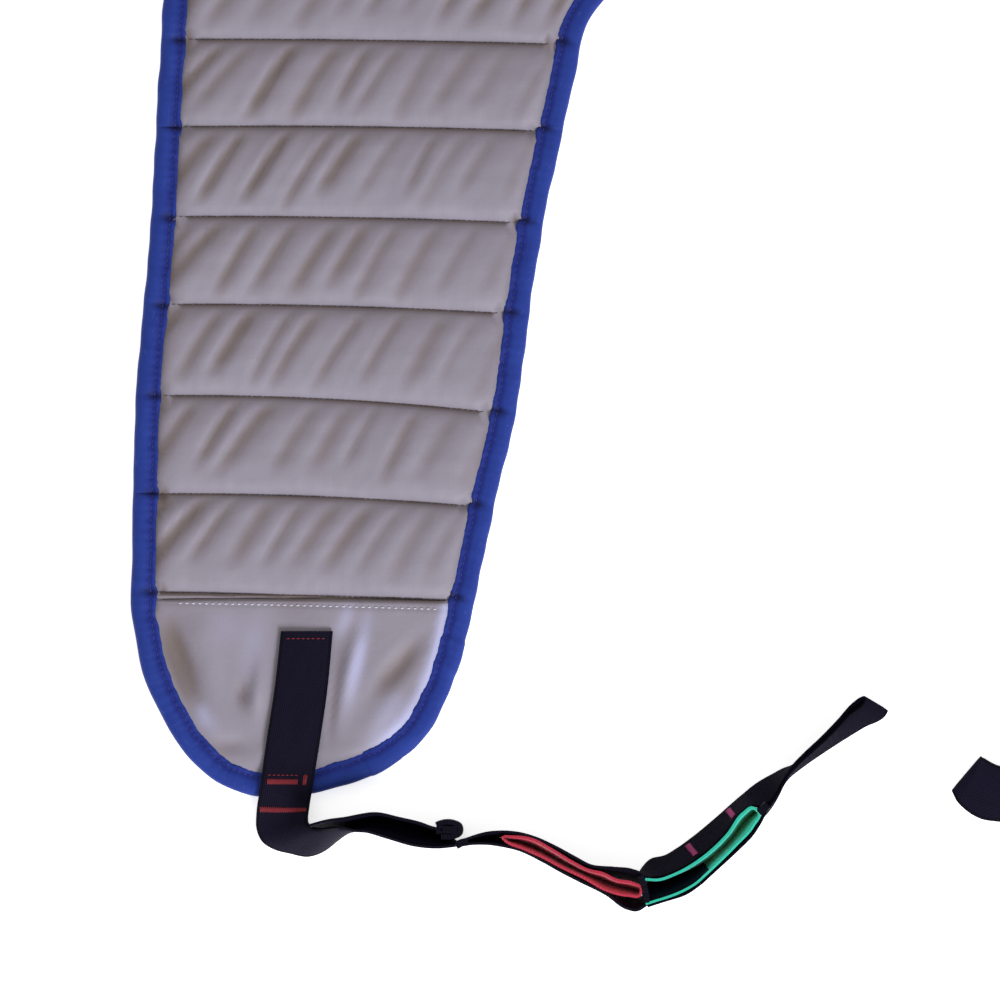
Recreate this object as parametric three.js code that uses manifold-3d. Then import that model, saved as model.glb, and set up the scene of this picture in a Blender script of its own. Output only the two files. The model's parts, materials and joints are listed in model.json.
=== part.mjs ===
// A divided-leg patient lift sling, laid out flat with its padded outer face up.
//
// Millimetres, +Z up, +Y towards the head, +X to the right as seen from above.
// The origin is on the underside, on the centre line, near the middle of the back.
// The quilted pad is cut into channels along its seams. A bound edge runs all round it, and
// four webbing straps are sewn on, each a chain of loops standing on edge.

import * as THREE from 'three';
import { mergeVertices } from 'three/addons/utils/BufferGeometryUtils.js';
import Module from 'manifold-3d';

// ---- driving dimensions ----

const WEBBING = 38;             // width of every strap
const WEB_PLY = 2.4;            // one ply of black webbing
const LINER_PLY = 1.8;          // the coloured lining of a loop
const LOOP_CLEAR = 8;           // clear space between the two sides of a loop
const SEWN_END = 8;             // solid length where the plies are tacked together
const GAP = 0.3;                // between pieces that touch
const HINGE_GAP = 1.6;          // from a strap hinge to the webbing on each side of it
const FLAT_LOOP_GAP = 4;        // more, where the webbing turns from its edge on to its face

const PAD = 14;                 // thickness of the quilted pad
const BINDING = 18;             // visible width of the binding tape
const BINDING_PLY = 8;          // thickness of the bound edge

const ARCH = { half: 246, rise: 115, foot: -367 };      // the opening between the legs
const LEG_MIDDLE = 410;                                 // centre line of a leg at mid length
const NECK_Y = 300;                                     // fold line of the head support
const BACK_SPLIT_Y = [-220, -22];                       // seams between the three back panels

// Leg seams from the hip down: y on the leg's centre line, and how far the seam
// falls from the outer edge to the inner one.
const LEG_SEAMS = [
  { y: -353.4, fall: 3.2 },     // hip
  { y: -416.2, fall: 2.9 },
  { y: -481.7, fall: 4.3 },
  { y: -546.2, fall: 6.5 },
  { y: -615.3, fall: 12.2 },    // knee
  { y: -684.4, fall: 9.4 },
  { y: -753.5, fall: 6.5 },     // end flap
];
const SEAM_SPAN = 240;          // the width over which the fall is given
const KNEE = 4;
const FLAP = 6;

// Free edges of the left half, as points on smooth curves.
const INNER_LEG_EDGE = [
  [-246, -367], [-257, -418], [-270.5, -481], [-281, -548], [-290.5, -620], [-304, -677],
  [-320.5, -756], [-332, -803], [-347, -840], [-365, -864], [-392, -881], [-430, -894],
];
const LEG_END = [
  [-430, -894], [-468, -898.5], [-499, -891], [-519, -877], [-535, -858], [-549, -834],
  [-561, -803], [-568, -765],
];
const OUTER_EDGE = [
  [-568, -765], [-567, -700], [-564.5, -608], [-559, -544], [-553.5, -479], [-544.5, -324],
  [-532, -230], [-507, -120], [-470, 0], [-437, 100], [-412, 180], [-390, 235],
  [-356, 262], [-318, 258],
];
const NECK_EDGE = [
  [-318, 258], [-262, 252], [-222, 268], [-206, 310], [-203, 380], [-200, 450],
  [-176, 505], [-120, 532], [0, 540],
];

// Strap routes. A hinge is where a strap bends between two loops.
const LEFT_ROUTE = {
  first: { from: [-414, -918], to: [-332.5, -929] },
  hinges: [[-329.8, -930.2], [-196, -966.5], [-112.5, -899]],
  tip: [-24, -830],
  bulges: [-2.5, -6.5, 5.5],
  flatTip: false,
};
const RIGHT_ROUTE = {
  first: { from: [414, -918], to: [351.2, -970.7] },
  hinges: [[349, -972.6], [210.4, -976], [135.5, -898.5]],
  tip: [23, -893.5],
  bulges: [2.5, 5, 0],
  flatTip: true,
};
const RED_NECK = 27;            // single web between the first hinge and the red loop

const LEG_ANCHOR = { x: -448.5, top: -779, bottom: -899, lean: 0.13 };
const LEG_TAB = { x: -459, top: -900.5, bottom: -936 };

const SHOULDER = {
  root: [-366, 262], heading: [-0.405, 0.914], anchor: 105, tab: 18, turn: 12, neck: 34,
  loops: [112, 108], turns: [0.28, 0.5],
};

const HANDLE = { half: 85, sewn: 28, rise: 24, y: 80 };
const STAY = { x: 95, width: 26, thick: 2.4, from: 318, to: 488 };

// ---- materials ----

function material(color, roughness) {
  return new THREE.MeshStandardMaterial({ color, roughness, metalness: 0 });
}

const quiltFabric = material(0x938894, 0.8);
const bindingTape = material(0x2f4296, 0.75);
const blackWebbing = material(0x201e2b, 0.7);
const redWebbing = material(0xb02a44, 0.65);
const greenWebbing = material(0x23a078, 0.65);
const stayPlastic = material(0xe6e4dc, 0.45);

// ---- solids ----

const wasm = await Module();
wasm.setup();

function solidOf(geometry) {
  const bare = geometry.clone();
  bare.deleteAttribute('normal');
  bare.deleteAttribute('uv');
  const merged = mergeVertices(bare);
  return new wasm.Manifold(new wasm.Mesh({
    numProp: 3,
    vertProperties: new Float32Array(merged.getAttribute('position').array),
    triVerts: new Uint32Array(merged.getIndex().array),
  }));
}

function geometryOf(solid) {
  const result = solid.getMesh();
  const geometry = new THREE.BufferGeometry();
  geometry.setAttribute('position', new THREE.BufferAttribute(result.vertProperties, 3));
  geometry.setIndex(new THREE.BufferAttribute(result.triVerts, 1));
  geometry.computeVertexNormals();
  return geometry;
}

function vectors(points) {
  return points.map(([x, y]) => new THREE.Vector2(x, y));
}

// A flat prism over a closed outline.
function prism(outline, bottom, top) {
  const shape = new THREE.Shape(outline);
  const geometry = new THREE.ExtrudeGeometry(shape, { depth: top - bottom, bevelEnabled: false });
  return solidOf(geometry.translate(0, 0, bottom));
}

// ---- outline of the sling ----

function smooth(points, steps) {
  return new THREE.SplineCurve(vectors(points)).getPoints(steps);
}

// The left half, from the top of the arch down the leg, up the outer edge and over the head.
function leftOutline() {
  const arch = new THREE.EllipseCurve(0, ARCH.foot, ARCH.half, ARCH.rise, Math.PI / 2, Math.PI);
  const runs = [
    arch.getPoints(14),
    smooth(INNER_LEG_EDGE, 22),
    smooth(LEG_END, 18),
    smooth(OUTER_EDGE, 32),
    smooth(NECK_EDGE, 24),
  ];
  return runs.flatMap((run, i) => (i === 0 ? run : run.slice(1)));
}

function slingOutline() {
  const left = leftOutline();
  const right = left.slice(1, -1).reverse().map((p) => new THREE.Vector2(-p.x, p.y));
  return left.concat(right);
}

// The same outline moved inwards by a distance. The outline runs clockwise.
function inset(outline, distance) {
  const count = outline.length;
  return outline.map((point, i) => {
    const before = outline[(i + count - 1) % count];
    const after = outline[(i + 1) % count];
    const along = after.clone().sub(before).normalize();
    return new THREE.Vector2(point.x + along.y * distance, point.y - along.x * distance);
  });
}

const outline = slingOutline();
const boundEdge = prism(outline, 0, BINDING_PLY)
  .subtract(prism(inset(outline, BINDING), -1, BINDING_PLY + 1));
const quilt = prism(inset(outline, BINDING + GAP), 0, PAD);

// ---- regions between seams ----

function seamY(seam, x) {
  return seam.y - (seam.fall / SEAM_SPAN) * (x + LEG_MIDDLE);
}

// The strip of one leg between two seams, from x = near to x = far. side is -1 or 1.
function legStrip(side, upper, lower, near, far) {
  const corners = [
    [near, seamY(upper, near) - GAP / 2], [far, seamY(upper, far) - GAP / 2],
    [far, lower ? seamY(lower, far) + GAP / 2 : -1000],
    [near, lower ? seamY(lower, near) + GAP / 2 : -1000],
  ];
  const points = corners.map(([x, y]) => new THREE.Vector2(-side * x, y));
  return prism(points, -5, 60);
}

// A straight-sided region from its corners.
function region(corners) {
  return prism(vectors(corners), -5, 60);
}

// Everything above the hip seams.
function backRegion(top) {
  const hip = LEG_SEAMS[0];
  const edge = [-700, -200].map((x) => [x, seamY(hip, x) + GAP / 2]);
  const mirror = edge.map(([x, y]) => [-x, y]).reverse();
  return region([...edge, ...mirror, [700, top], [-700, top]]);
}

// ---- pads and bindings ----

const group = new THREE.Group();

function add(name, geometry, finish) {
  const mesh = new THREE.Mesh(geometry, finish);
  mesh.name = name;
  group.add(mesh);
}

function addSolid(name, solid, finish) {
  add(name, geometryOf(solid), finish);
}

function addLegPads(side, label) {
  for (let i = 0; i < LEG_SEAMS.length; i += 1) {
    const strip = legStrip(side, LEG_SEAMS[i], LEG_SEAMS[i + 1], -700, -150);
    const name = i === FLAP ? `${label}_end_flap` : `${label}_leg_channel_${i + 1}`;
    addSolid(name, quilt.intersect(strip), quiltFabric);
  }
}

function addLegBindings(side, label) {
  const hip = LEG_SEAMS[0];
  const knee = LEG_SEAMS[KNEE];
  const flap = LEG_SEAMS[FLAP];
  const parts = [
    ['thigh_outer', hip, knee, -700, -LEG_MIDDLE],
    ['thigh_inner', hip, knee, -LEG_MIDDLE, -150],
    ['lower_outer', knee, flap, -700, -LEG_MIDDLE],
    ['lower_inner', knee, flap, -LEG_MIDDLE, -150],
    ['flap', flap, undefined, -700, -150],
  ];
  for (const [name, upper, lower, near, far] of parts) {
    const strip = legStrip(side, upper, lower, near, far);
    addSolid(`${label}_${name}_binding`, boundEdge.intersect(strip), bindingTape);
  }
}

function addBack() {
  const [low, high] = BACK_SPLIT_Y;
  const neck = NECK_Y - GAP / 2;
  const wide = (bottom, top) => region([[-700, bottom], [700, bottom], [700, top], [-700, top]]);
  addSolid('hip_panel', quilt.intersect(backRegion(low - GAP / 2)), quiltFabric);
  const lowerPanel = quilt.intersect(wide(low + GAP / 2, high - GAP / 2));
  addSolid('lower_back_panel', lowerPanel, quiltFabric);
  addSolid('upper_back_panel', quilt.intersect(wide(high + GAP / 2, neck)), quiltFabric);

  const edge = boundEdge.intersect(backRegion(neck));
  const archArea = region([[-300, -400], [300, -400], [300, -200], [-300, -200]]);
  addSolid('arch_binding', edge.intersect(archArea), bindingTape);
  const leftSide = region([[-700, -400], [-320, -400], [-150, 0], [-150, 400], [-700, 400]]);
  const rightSide = region([[700, -400], [700, 400], [150, 400], [150, 0], [320, -400]]);
  addSolid('left_side_binding', edge.intersect(leftSide), bindingTape);
  addSolid('right_side_binding', edge.intersect(rightSide), bindingTape);
}

// The head support, with two grooves under it for its stiffening stays.
function addHead() {
  const start = NECK_Y + GAP / 2;
  const area = region([[-400, start], [400, start], [400, 700], [-400, 700]]);
  let pad = quilt.intersect(area);
  const depth = STAY.thick + 2 * GAP;
  for (const side of [-1, 1]) {
    const label = side < 0 ? 'left' : 'right';
    const length = STAY.to - STAY.from;
    const groove = new THREE.BoxGeometry(STAY.width + 2 * GAP, length + 2 * GAP, 2 * depth);
    groove.translate(side * STAY.x, (STAY.from + STAY.to) / 2, 0);
    pad = pad.subtract(solidOf(groove));
    const stay = new THREE.BoxGeometry(STAY.width, length, STAY.thick);
    stay.translate(side * STAY.x, (STAY.from + STAY.to) / 2, GAP + STAY.thick / 2);
    add(`${label}_head_stay`, stay, stayPlastic);
  }
  addSolid('head_pad', pad, quiltFabric);
  addSolid('head_binding', boundEdge.intersect(area), bindingTape);
}

// A grab handle across the back, sewn down at both ends and raised between them.
function addHandle() {
  const { half, sewn, rise, y } = HANDLE;
  const base = PAD + GAP;
  const profile = (lift) => [
    [-half, base + lift], [-half + sewn, base + lift], [-half + 2 * sewn, base + rise + lift],
    [half - 2 * sewn, base + rise + lift], [half - sewn, base + lift], [half, base + lift],
  ];
  const points = vectors([...profile(0), ...profile(WEB_PLY).reverse()]);
  const geometry = new THREE.ExtrudeGeometry(
    new THREE.Shape(points),
    { depth: WEBBING, bevelEnabled: false },
  );
  geometry.rotateX(Math.PI / 2).translate(0, y + WEBBING / 2, 0);
  add('back_handle', geometry, blackWebbing);
}

// ---- straps ----

function towards(from, to) {
  const dx = to[0] - from[0];
  const dy = to[1] - from[1];
  const length = Math.hypot(dx, dy);
  return { length, x: dx / length, y: dy / length };
}

function stepFrom(point, heading, distance) {
  return [point[0] + heading.x * distance, point[1] + heading.y * distance];
}

// The outline of a flattened loop between two points, pinched at its ends. Its middle is
// bowed sideways, and each end is trimmed by a distance.
function loopOutline(from, to, bulge, halfWidth, trim) {
  const heading = towards(from, to);
  const half = heading.length / 2 - trim;
  const steps = 32;
  const fullness = 0.7;
  const points = [];
  for (let i = 0; i < steps; i += 1) {
    const angle = (i / steps) * 2 * Math.PI;
    const along = half * Math.cos(angle);
    const bow = bulge * (1 - (2 * along / heading.length) ** 2);
    const open = Math.sign(Math.sin(angle)) * Math.abs(Math.sin(angle)) ** fullness;
    const across = halfWidth * open + bow;
    const middle = stepFrom(from, heading, heading.length / 2 + along);
    points.push(new THREE.Vector2(middle[0] - heading.y * across, middle[1] + heading.x * across));
  }
  return points;
}

// A ring of webbing standing on edge.
function loopRing(loop, outerHalf, innerHalf, outerTrim, innerTrim) {
  const outer = loopOutline(loop.from, loop.to, loop.bulge, outerHalf, outerTrim);
  const inner = loopOutline(loop.from, loop.to, loop.bulge, innerHalf, innerTrim);
  return prism(outer, 0, WEBBING).subtract(prism(inner, -1, WEBBING + 1));
}

// A straight web standing on edge between two points.
function wall(from, to, thickness) {
  const heading = towards(from, to);
  const side = { x: -heading.y * thickness / 2, y: heading.x * thickness / 2 };
  return prism(vectors([
    [from[0] - side.x, from[1] - side.y], [to[0] - side.x, to[1] - side.y],
    [to[0] + side.x, to[1] + side.y], [from[0] + side.x, from[1] + side.y],
  ]), 0, WEBBING);
}

const PLAIN_HALF = LOOP_CLEAR / 2 + WEB_PLY;
const LINER_HALF = LOOP_CLEAR / 2 + LINER_PLY;
const LINED_HALF = LINER_HALF + GAP + WEB_PLY;

function plainLoop(loop) {
  return loopRing(loop, PLAIN_HALF, LOOP_CLEAR / 2, 0, SEWN_END);
}

function addLinedLoop(name, colour, loop, finish, neck) {
  const ring = loopRing(loop, LINED_HALF, LINER_HALF + GAP, 0, SEWN_END);
  addSolid(`${name}_${colour}_loop`, neck ? ring.add(neck) : ring, blackWebbing);
  const liner = loopRing(
    loop,
    LINER_HALF,
    LOOP_CLEAR / 2,
    SEWN_END + GAP,
    SEWN_END + GAP + LINER_PLY,
  );
  addSolid(`${name}_${colour}_liner`, liner, finish);
}

function between(from, to, bulge) {
  const heading = towards(from, to);
  return {
    from: stepFrom(from, heading, HINGE_GAP),
    to: stepFrom(to, heading, -HINGE_GAP),
    bulge,
  };
}

// A strap end lying flat: the same loop, turned on its side about its long axis.
function flatLoop(loop) {
  const heading = towards(loop.from, loop.to);
  const start = stepFrom(loop.from, heading, FLAT_LOOP_GAP);
  const length = heading.length - FLAT_LOOP_GAP;
  const upright = plainLoop({ from: [0, 0], to: [length, 0], bulge: 0 });
  const geometry = geometryOf(upright);
  geometry.translate(0, 0, -WEBBING / 2);
  geometry.rotateX(Math.PI / 2);
  geometry.rotateZ(Math.atan2(heading.y, heading.x));
  geometry.translate(start[0], start[1], PLAIN_HALF);
  return geometry;
}

// The strap's flat end, sewn to the end flap and lying over the bound edge.
function addLegAnchor(side, label) {
  const { x, top, bottom, lean } = LEG_ANCHOR;
  const length = top - bottom;
  const anchor = new THREE.BoxGeometry(WEBBING, length, WEB_PLY);
  anchor.rotateZ(side * lean);
  anchor.translate(-side * x, (top + bottom) / 2, PAD + GAP + WEB_PLY / 2);
  const flap = LEG_TAB.top + 2;
  const keep = region([[-700, flap], [700, flap], [700, 0], [-700, 0]]);
  addSolid(`${label}_strap_anchor`, solidOf(anchor).intersect(keep), blackWebbing);
}

// The strap turns down at the flap's edge, on to its edge, and opens into the first loop.
function addLegLead(side, label, route) {
  const tab = new THREE.BoxGeometry(WEBBING, LEG_TAB.top - LEG_TAB.bottom, WEB_PLY);
  tab.translate(-side * LEG_TAB.x, (LEG_TAB.top + LEG_TAB.bottom) / 2, WEB_PLY / 2);
  const turn = [-side * LEG_TAB.x, (LEG_TAB.top + LEG_TAB.bottom) / 2 - 8];
  const heading = towards(turn, route.first.from);
  const web = wall(turn, stepFrom(route.first.from, heading, 4), 2 * WEB_PLY);
  const loop = plainLoop({ ...route.first, bulge: 0 });
  addSolid(`${label}_strap_lead`, solidOf(tab).add(web).add(loop), blackWebbing);
}

function addLegStrap(side, label, route) {
  addLegAnchor(side, label);
  addLegLead(side, label, route);
  const [first, second, third] = route.hinges;
  const name = `${label}_strap`;

  const redHeading = towards(first, second);
  const redStart = stepFrom(first, redHeading, RED_NECK);
  const neck = wall(
    stepFrom(first, redHeading, HINGE_GAP),
    stepFrom(redStart, redHeading, SEWN_END / 2),
    2 * WEB_PLY,
  );
  const red = between(redStart, second, route.bulges[0]);
  addLinedLoop(name, 'red', red, redWebbing, neck);
  addLinedLoop(name, 'green', between(second, third, route.bulges[1]), greenWebbing);

  const end = between(third, route.tip, route.bulges[2]);
  end.to = route.tip;
  const geometry = route.flatTip ? flatLoop(end) : geometryOf(plainLoop(end));
  add(`${name}_end_loop`, geometry, blackWebbing);
}

function turned(heading, angle) {
  const cos = Math.cos(angle);
  const sin = Math.sin(angle);
  return { x: heading.x * cos - heading.y * sin, y: heading.x * sin + heading.y * cos };
}

// A shoulder strap: sewn flat to the back, then a short lead, a green loop and an end loop.
function addShoulderStrap(side, label) {
  const root = [-side * SHOULDER.root[0], SHOULDER.root[1]];
  const heading = { x: -side * SHOULDER.heading[0], y: SHOULDER.heading[1] };
  const name = `${label}_shoulder`;
  const spin = Math.atan2(heading.y, heading.x) - Math.PI / 2;

  const anchor = new THREE.BoxGeometry(WEBBING, SHOULDER.anchor, WEB_PLY);
  anchor.translate(0, -SHOULDER.anchor / 2 - HINGE_GAP, PAD + GAP + WEB_PLY / 2);
  anchor.rotateZ(spin).translate(root[0], root[1], 0);
  add(`${name}_anchor`, anchor, blackWebbing);

  const tab = new THREE.BoxGeometry(WEBBING, SHOULDER.tab, WEB_PLY);
  tab.translate(0, SHOULDER.tab / 2 + HINGE_GAP, WEB_PLY / 2);
  tab.rotateZ(spin).translate(root[0], root[1], 0);
  const web = wall(
    stepFrom(root, heading, SHOULDER.turn),
    stepFrom(root, heading, SHOULDER.neck - HINGE_GAP),
    2 * WEB_PLY,
  );
  addSolid(`${name}_lead`, solidOf(tab).add(web), blackWebbing);

  const first = stepFrom(root, heading, SHOULDER.neck);
  const second = stepFrom(first, turned(heading, side * SHOULDER.turns[0]), SHOULDER.loops[0]);
  const tip = stepFrom(second, turned(heading, side * SHOULDER.turns[1]), SHOULDER.loops[1]);
  addLinedLoop(name, 'green', between(first, second, side * 4), greenWebbing);
  const end = between(second, tip, side * 4);
  addSolid(`${name}_end_loop`, plainLoop(end), blackWebbing);
}

// ---- assembly ----

addBack();
addHead();
addHandle();
for (const side of [-1, 1]) {
  const label = side < 0 ? 'left' : 'right';
  addLegPads(side, label);
  addLegBindings(side, label);
  addLegStrap(side, label, side < 0 ? LEFT_ROUTE : RIGHT_ROUTE);
  addShoulderStrap(side, label);
}

export default group;
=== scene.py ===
"""The looks of a divided-leg patient lift sling, laid out flat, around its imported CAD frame.

Lengths are in millimetres until a mesh is made, and every mesh is in metres in the frame's axes.
"""

import json
import math

import bpy
import numpy as np
from mathutils import Vector
from mathutils.geometry import delaunay_2d_cdt
from mathutils.kdtree import KDTree
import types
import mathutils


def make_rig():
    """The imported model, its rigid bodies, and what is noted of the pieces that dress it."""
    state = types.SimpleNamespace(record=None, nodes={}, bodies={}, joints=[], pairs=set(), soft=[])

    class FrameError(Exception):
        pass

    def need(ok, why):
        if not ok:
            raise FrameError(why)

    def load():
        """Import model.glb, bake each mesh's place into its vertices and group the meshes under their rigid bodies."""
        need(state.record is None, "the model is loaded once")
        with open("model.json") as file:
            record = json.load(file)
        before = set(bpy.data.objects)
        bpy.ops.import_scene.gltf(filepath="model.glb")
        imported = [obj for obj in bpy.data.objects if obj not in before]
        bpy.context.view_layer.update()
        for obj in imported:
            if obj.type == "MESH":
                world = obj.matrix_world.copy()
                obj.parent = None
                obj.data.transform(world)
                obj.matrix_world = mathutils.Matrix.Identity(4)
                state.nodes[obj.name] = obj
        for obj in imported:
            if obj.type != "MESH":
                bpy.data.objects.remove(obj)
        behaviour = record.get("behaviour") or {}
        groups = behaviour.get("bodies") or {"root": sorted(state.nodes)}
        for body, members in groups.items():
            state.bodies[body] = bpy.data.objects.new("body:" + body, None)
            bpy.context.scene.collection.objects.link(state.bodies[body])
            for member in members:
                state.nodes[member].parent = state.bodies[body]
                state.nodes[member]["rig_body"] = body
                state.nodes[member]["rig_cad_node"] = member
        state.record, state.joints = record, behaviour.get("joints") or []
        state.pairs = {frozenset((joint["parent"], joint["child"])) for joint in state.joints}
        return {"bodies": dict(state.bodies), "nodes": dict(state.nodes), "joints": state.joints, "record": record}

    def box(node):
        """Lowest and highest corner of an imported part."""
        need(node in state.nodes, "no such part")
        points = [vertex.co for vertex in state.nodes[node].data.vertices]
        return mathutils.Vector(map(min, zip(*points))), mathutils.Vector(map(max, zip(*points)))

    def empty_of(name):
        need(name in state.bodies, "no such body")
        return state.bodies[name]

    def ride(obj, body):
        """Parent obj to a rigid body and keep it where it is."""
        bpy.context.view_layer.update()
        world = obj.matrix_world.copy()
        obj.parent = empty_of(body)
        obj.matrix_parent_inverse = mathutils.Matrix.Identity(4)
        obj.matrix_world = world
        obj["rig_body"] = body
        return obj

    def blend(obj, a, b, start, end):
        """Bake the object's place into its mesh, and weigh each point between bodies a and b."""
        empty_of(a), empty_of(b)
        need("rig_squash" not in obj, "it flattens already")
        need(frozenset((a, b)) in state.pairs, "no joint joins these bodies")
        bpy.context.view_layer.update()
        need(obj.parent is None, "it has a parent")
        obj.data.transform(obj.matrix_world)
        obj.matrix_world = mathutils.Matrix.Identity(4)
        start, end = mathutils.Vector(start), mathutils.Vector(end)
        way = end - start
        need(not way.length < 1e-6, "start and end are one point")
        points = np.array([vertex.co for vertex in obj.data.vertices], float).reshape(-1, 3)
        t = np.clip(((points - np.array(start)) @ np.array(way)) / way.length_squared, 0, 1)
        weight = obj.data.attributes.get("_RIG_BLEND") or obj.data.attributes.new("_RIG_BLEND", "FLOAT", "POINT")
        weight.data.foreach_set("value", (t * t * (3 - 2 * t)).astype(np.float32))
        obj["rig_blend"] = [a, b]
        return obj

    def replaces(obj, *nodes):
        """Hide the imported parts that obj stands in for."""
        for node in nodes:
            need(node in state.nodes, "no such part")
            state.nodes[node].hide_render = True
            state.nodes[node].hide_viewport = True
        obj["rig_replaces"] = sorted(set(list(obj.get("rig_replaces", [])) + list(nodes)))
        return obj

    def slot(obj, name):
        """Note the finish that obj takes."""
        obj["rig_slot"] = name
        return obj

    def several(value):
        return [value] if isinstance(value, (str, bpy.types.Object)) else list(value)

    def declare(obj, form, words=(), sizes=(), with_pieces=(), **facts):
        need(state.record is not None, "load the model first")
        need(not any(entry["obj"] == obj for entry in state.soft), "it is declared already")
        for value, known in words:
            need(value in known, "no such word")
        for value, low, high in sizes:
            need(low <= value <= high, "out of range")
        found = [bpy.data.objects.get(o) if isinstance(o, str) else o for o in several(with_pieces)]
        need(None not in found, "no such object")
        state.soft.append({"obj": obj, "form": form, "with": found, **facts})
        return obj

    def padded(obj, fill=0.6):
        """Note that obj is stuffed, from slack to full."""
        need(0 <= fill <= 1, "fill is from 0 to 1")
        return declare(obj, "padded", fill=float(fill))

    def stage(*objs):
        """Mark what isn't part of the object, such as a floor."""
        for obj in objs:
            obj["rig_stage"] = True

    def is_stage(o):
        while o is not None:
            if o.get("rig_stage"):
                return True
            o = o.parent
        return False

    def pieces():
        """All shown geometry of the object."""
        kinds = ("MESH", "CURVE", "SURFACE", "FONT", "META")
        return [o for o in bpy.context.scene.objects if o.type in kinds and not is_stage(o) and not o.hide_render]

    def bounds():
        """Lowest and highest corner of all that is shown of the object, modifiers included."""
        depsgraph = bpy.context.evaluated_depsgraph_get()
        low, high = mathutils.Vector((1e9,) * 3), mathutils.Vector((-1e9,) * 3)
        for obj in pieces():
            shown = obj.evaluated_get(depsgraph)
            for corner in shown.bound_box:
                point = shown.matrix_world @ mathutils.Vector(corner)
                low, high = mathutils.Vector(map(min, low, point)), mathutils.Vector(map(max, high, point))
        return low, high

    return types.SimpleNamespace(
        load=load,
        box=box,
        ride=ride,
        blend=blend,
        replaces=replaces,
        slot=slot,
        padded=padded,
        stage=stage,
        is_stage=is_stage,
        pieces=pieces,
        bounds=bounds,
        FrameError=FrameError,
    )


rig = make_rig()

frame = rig.load()
cad_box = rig.bounds()

MM = 0.001
SIDES = (("left", -1), ("right", 1))

# ---- sizes, in millimetres ----

WEBBING = 38                # width of the straps
SELVEDGE = 2.2              # their closer-woven edge
WEB_PLY = 2.3               # one ply of black webbing
LINER_PLY = 2.2             # the coloured lining of a loop
LIFT = 0.2                  # webbing standing on edge starts this far above the floor

TAPE = 18                   # visible width of the binding
TUCK = 1.6                  # how far the pad runs on under the binding
TAPE_STITCH = 13.6          # stitch row of the binding, from its outer edge

SEAM_HEIGHT = 4.2           # top of the fabric at the bottom of a seam
CHANNEL_RISE = 4.6          # how far it climbs straight beside the seam
CHANNEL_RUN = 4.0           # and how soon
CROWN = 3.6                 # and on to the middle of the channel
EDGE_HEIGHT = 6.2           # where it goes under the binding
FLAP_HEIGHT = 9.0           # the unquilted end flap

LEG_GRID = 3.6              # spacing of the pad's mesh on the legs
BACK_GRID = 6.0             # and elsewhere
OUTLINE_SMOOTHING = 24      # passes over the frame's own, faceted outline
ROW_STEP = 3.6              # spacing of the mesh's points along its edge and its seams
SEAM_ROWS = (0.8, 2.0, 4.0, 6.6)    # rows of points beside a seam
EDGE_ROWS = (1.6, 3.6, 6.0)         # and inside the edge
FLAP_TOP = 14               # the top of the end flap, which has closer rows
FLAP_ROWS = (0.7, 1.5, 2.4, 3.3, 4.2, 5.1, 6.0, 6.9, 7.8, 8.7, 9.6, 10.5, 11.4, 12.3)

# How far each seam bows up in its middle.
LEG_SEAM_BOW = (1.0, 1.5, 1.5, 2.0, 3.6, 2.5, 0.5)
BACK_SEAM_BOW = 4.0
BACK_HALF_WIDTH = 450       # where that bow has run out
CHANNEL = 62                # width of a quilted channel
# Leg seams by number, from the hip down.
THIGH_CUT = 1               # those where the pad is made in separate lengths
SHIN_CUT = 5
FLAP = 6
BEND = 33                   # half the length over which the pad bends at a hip or a knee
END_BEND = 30               # and at the head support or the end flap


# ---- curves ----

CURVE_SAMPLES = 24          # between two given points of a curve
WAVES = 12                  # that add up to a random function of the plane
LINE_WAVES = 8              # and of one line


def run_lengths(points):
    """How far along a line each of its points is."""
    return np.concatenate([[0], np.cumsum(np.linalg.norm(np.diff(points, axis=0), axis=1))])


def between(at, known, rows):
    """Rows of values that are known at some places, at other places between those."""
    return np.stack([np.interp(at, known, column) for column in rows.T], axis=1)


def smooth_path(points, step, closed=False):
    """Points at even steps along a smooth curve through the given ones, of any number of values each."""
    p = np.asarray(points, float)
    count = len(p)
    if closed:
        p = np.vstack([p[-2:], p, p[:3]])
    run = np.maximum(np.linalg.norm(np.diff(p, axis=0), axis=1), 1e-9)
    slope = np.diff(p, axis=0) / run[:, None]
    tangent = np.empty_like(p)
    tangent[0], tangent[-1] = slope[0], slope[-1]
    before, after = run[:-1, None], run[1:, None]
    tangent[1:-1] = (slope[:-1] * after + slope[1:] * before) / (before + after)
    first, last = (2, 2 + count) if closed else (0, count - 1)
    pieces = []
    for i in range(first, last):
        t = np.linspace(0, 1, CURVE_SAMPLES, endpoint=False)[:, None]
        h = run[i]
        pieces.append(
            (2 * t**3 - 3 * t**2 + 1) * p[i] + (t**3 - 2 * t**2 + t) * h * tangent[i]
            + (3 * t**2 - 2 * t**3) * p[i + 1] + (t**3 - t**2) * h * tangent[i + 1]
        )
    dense = np.vstack([*pieces, p[last][None]])
    length = run_lengths(dense)
    steps = max(3, round(length[-1] / step))
    at = np.linspace(0, length[-1], steps + 1)
    if closed:
        at = at[:-1]
    return between(at, length, dense)


def tangents(points, closed=False):
    """The direction of a line at each of its points."""
    if closed:
        run = np.roll(points, -1, axis=0) - np.roll(points, 1, axis=0)
    else:
        run = np.gradient(points, axis=0)
    return run / np.linalg.norm(run, axis=1, keepdims=True)


def waves(seed, lengths, size):
    """A smooth random function of one or two coordinates, with waves of about these lengths."""
    random = np.random.default_rng(seed)
    angle = random.uniform(0, 2 * math.pi, WAVES)
    phase = random.uniform(0, 2 * math.pi, WAVES)
    length = random.uniform(*lengths, WAVES)

    def at(x, y=0.0):
        total = 0
        for a, f, w in zip(angle, phase, length):
            total = total + np.sin(2 * math.pi * (x * math.cos(a) + y * math.sin(a)) / w + f)
        return size * total / 3.5
    return at


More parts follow.
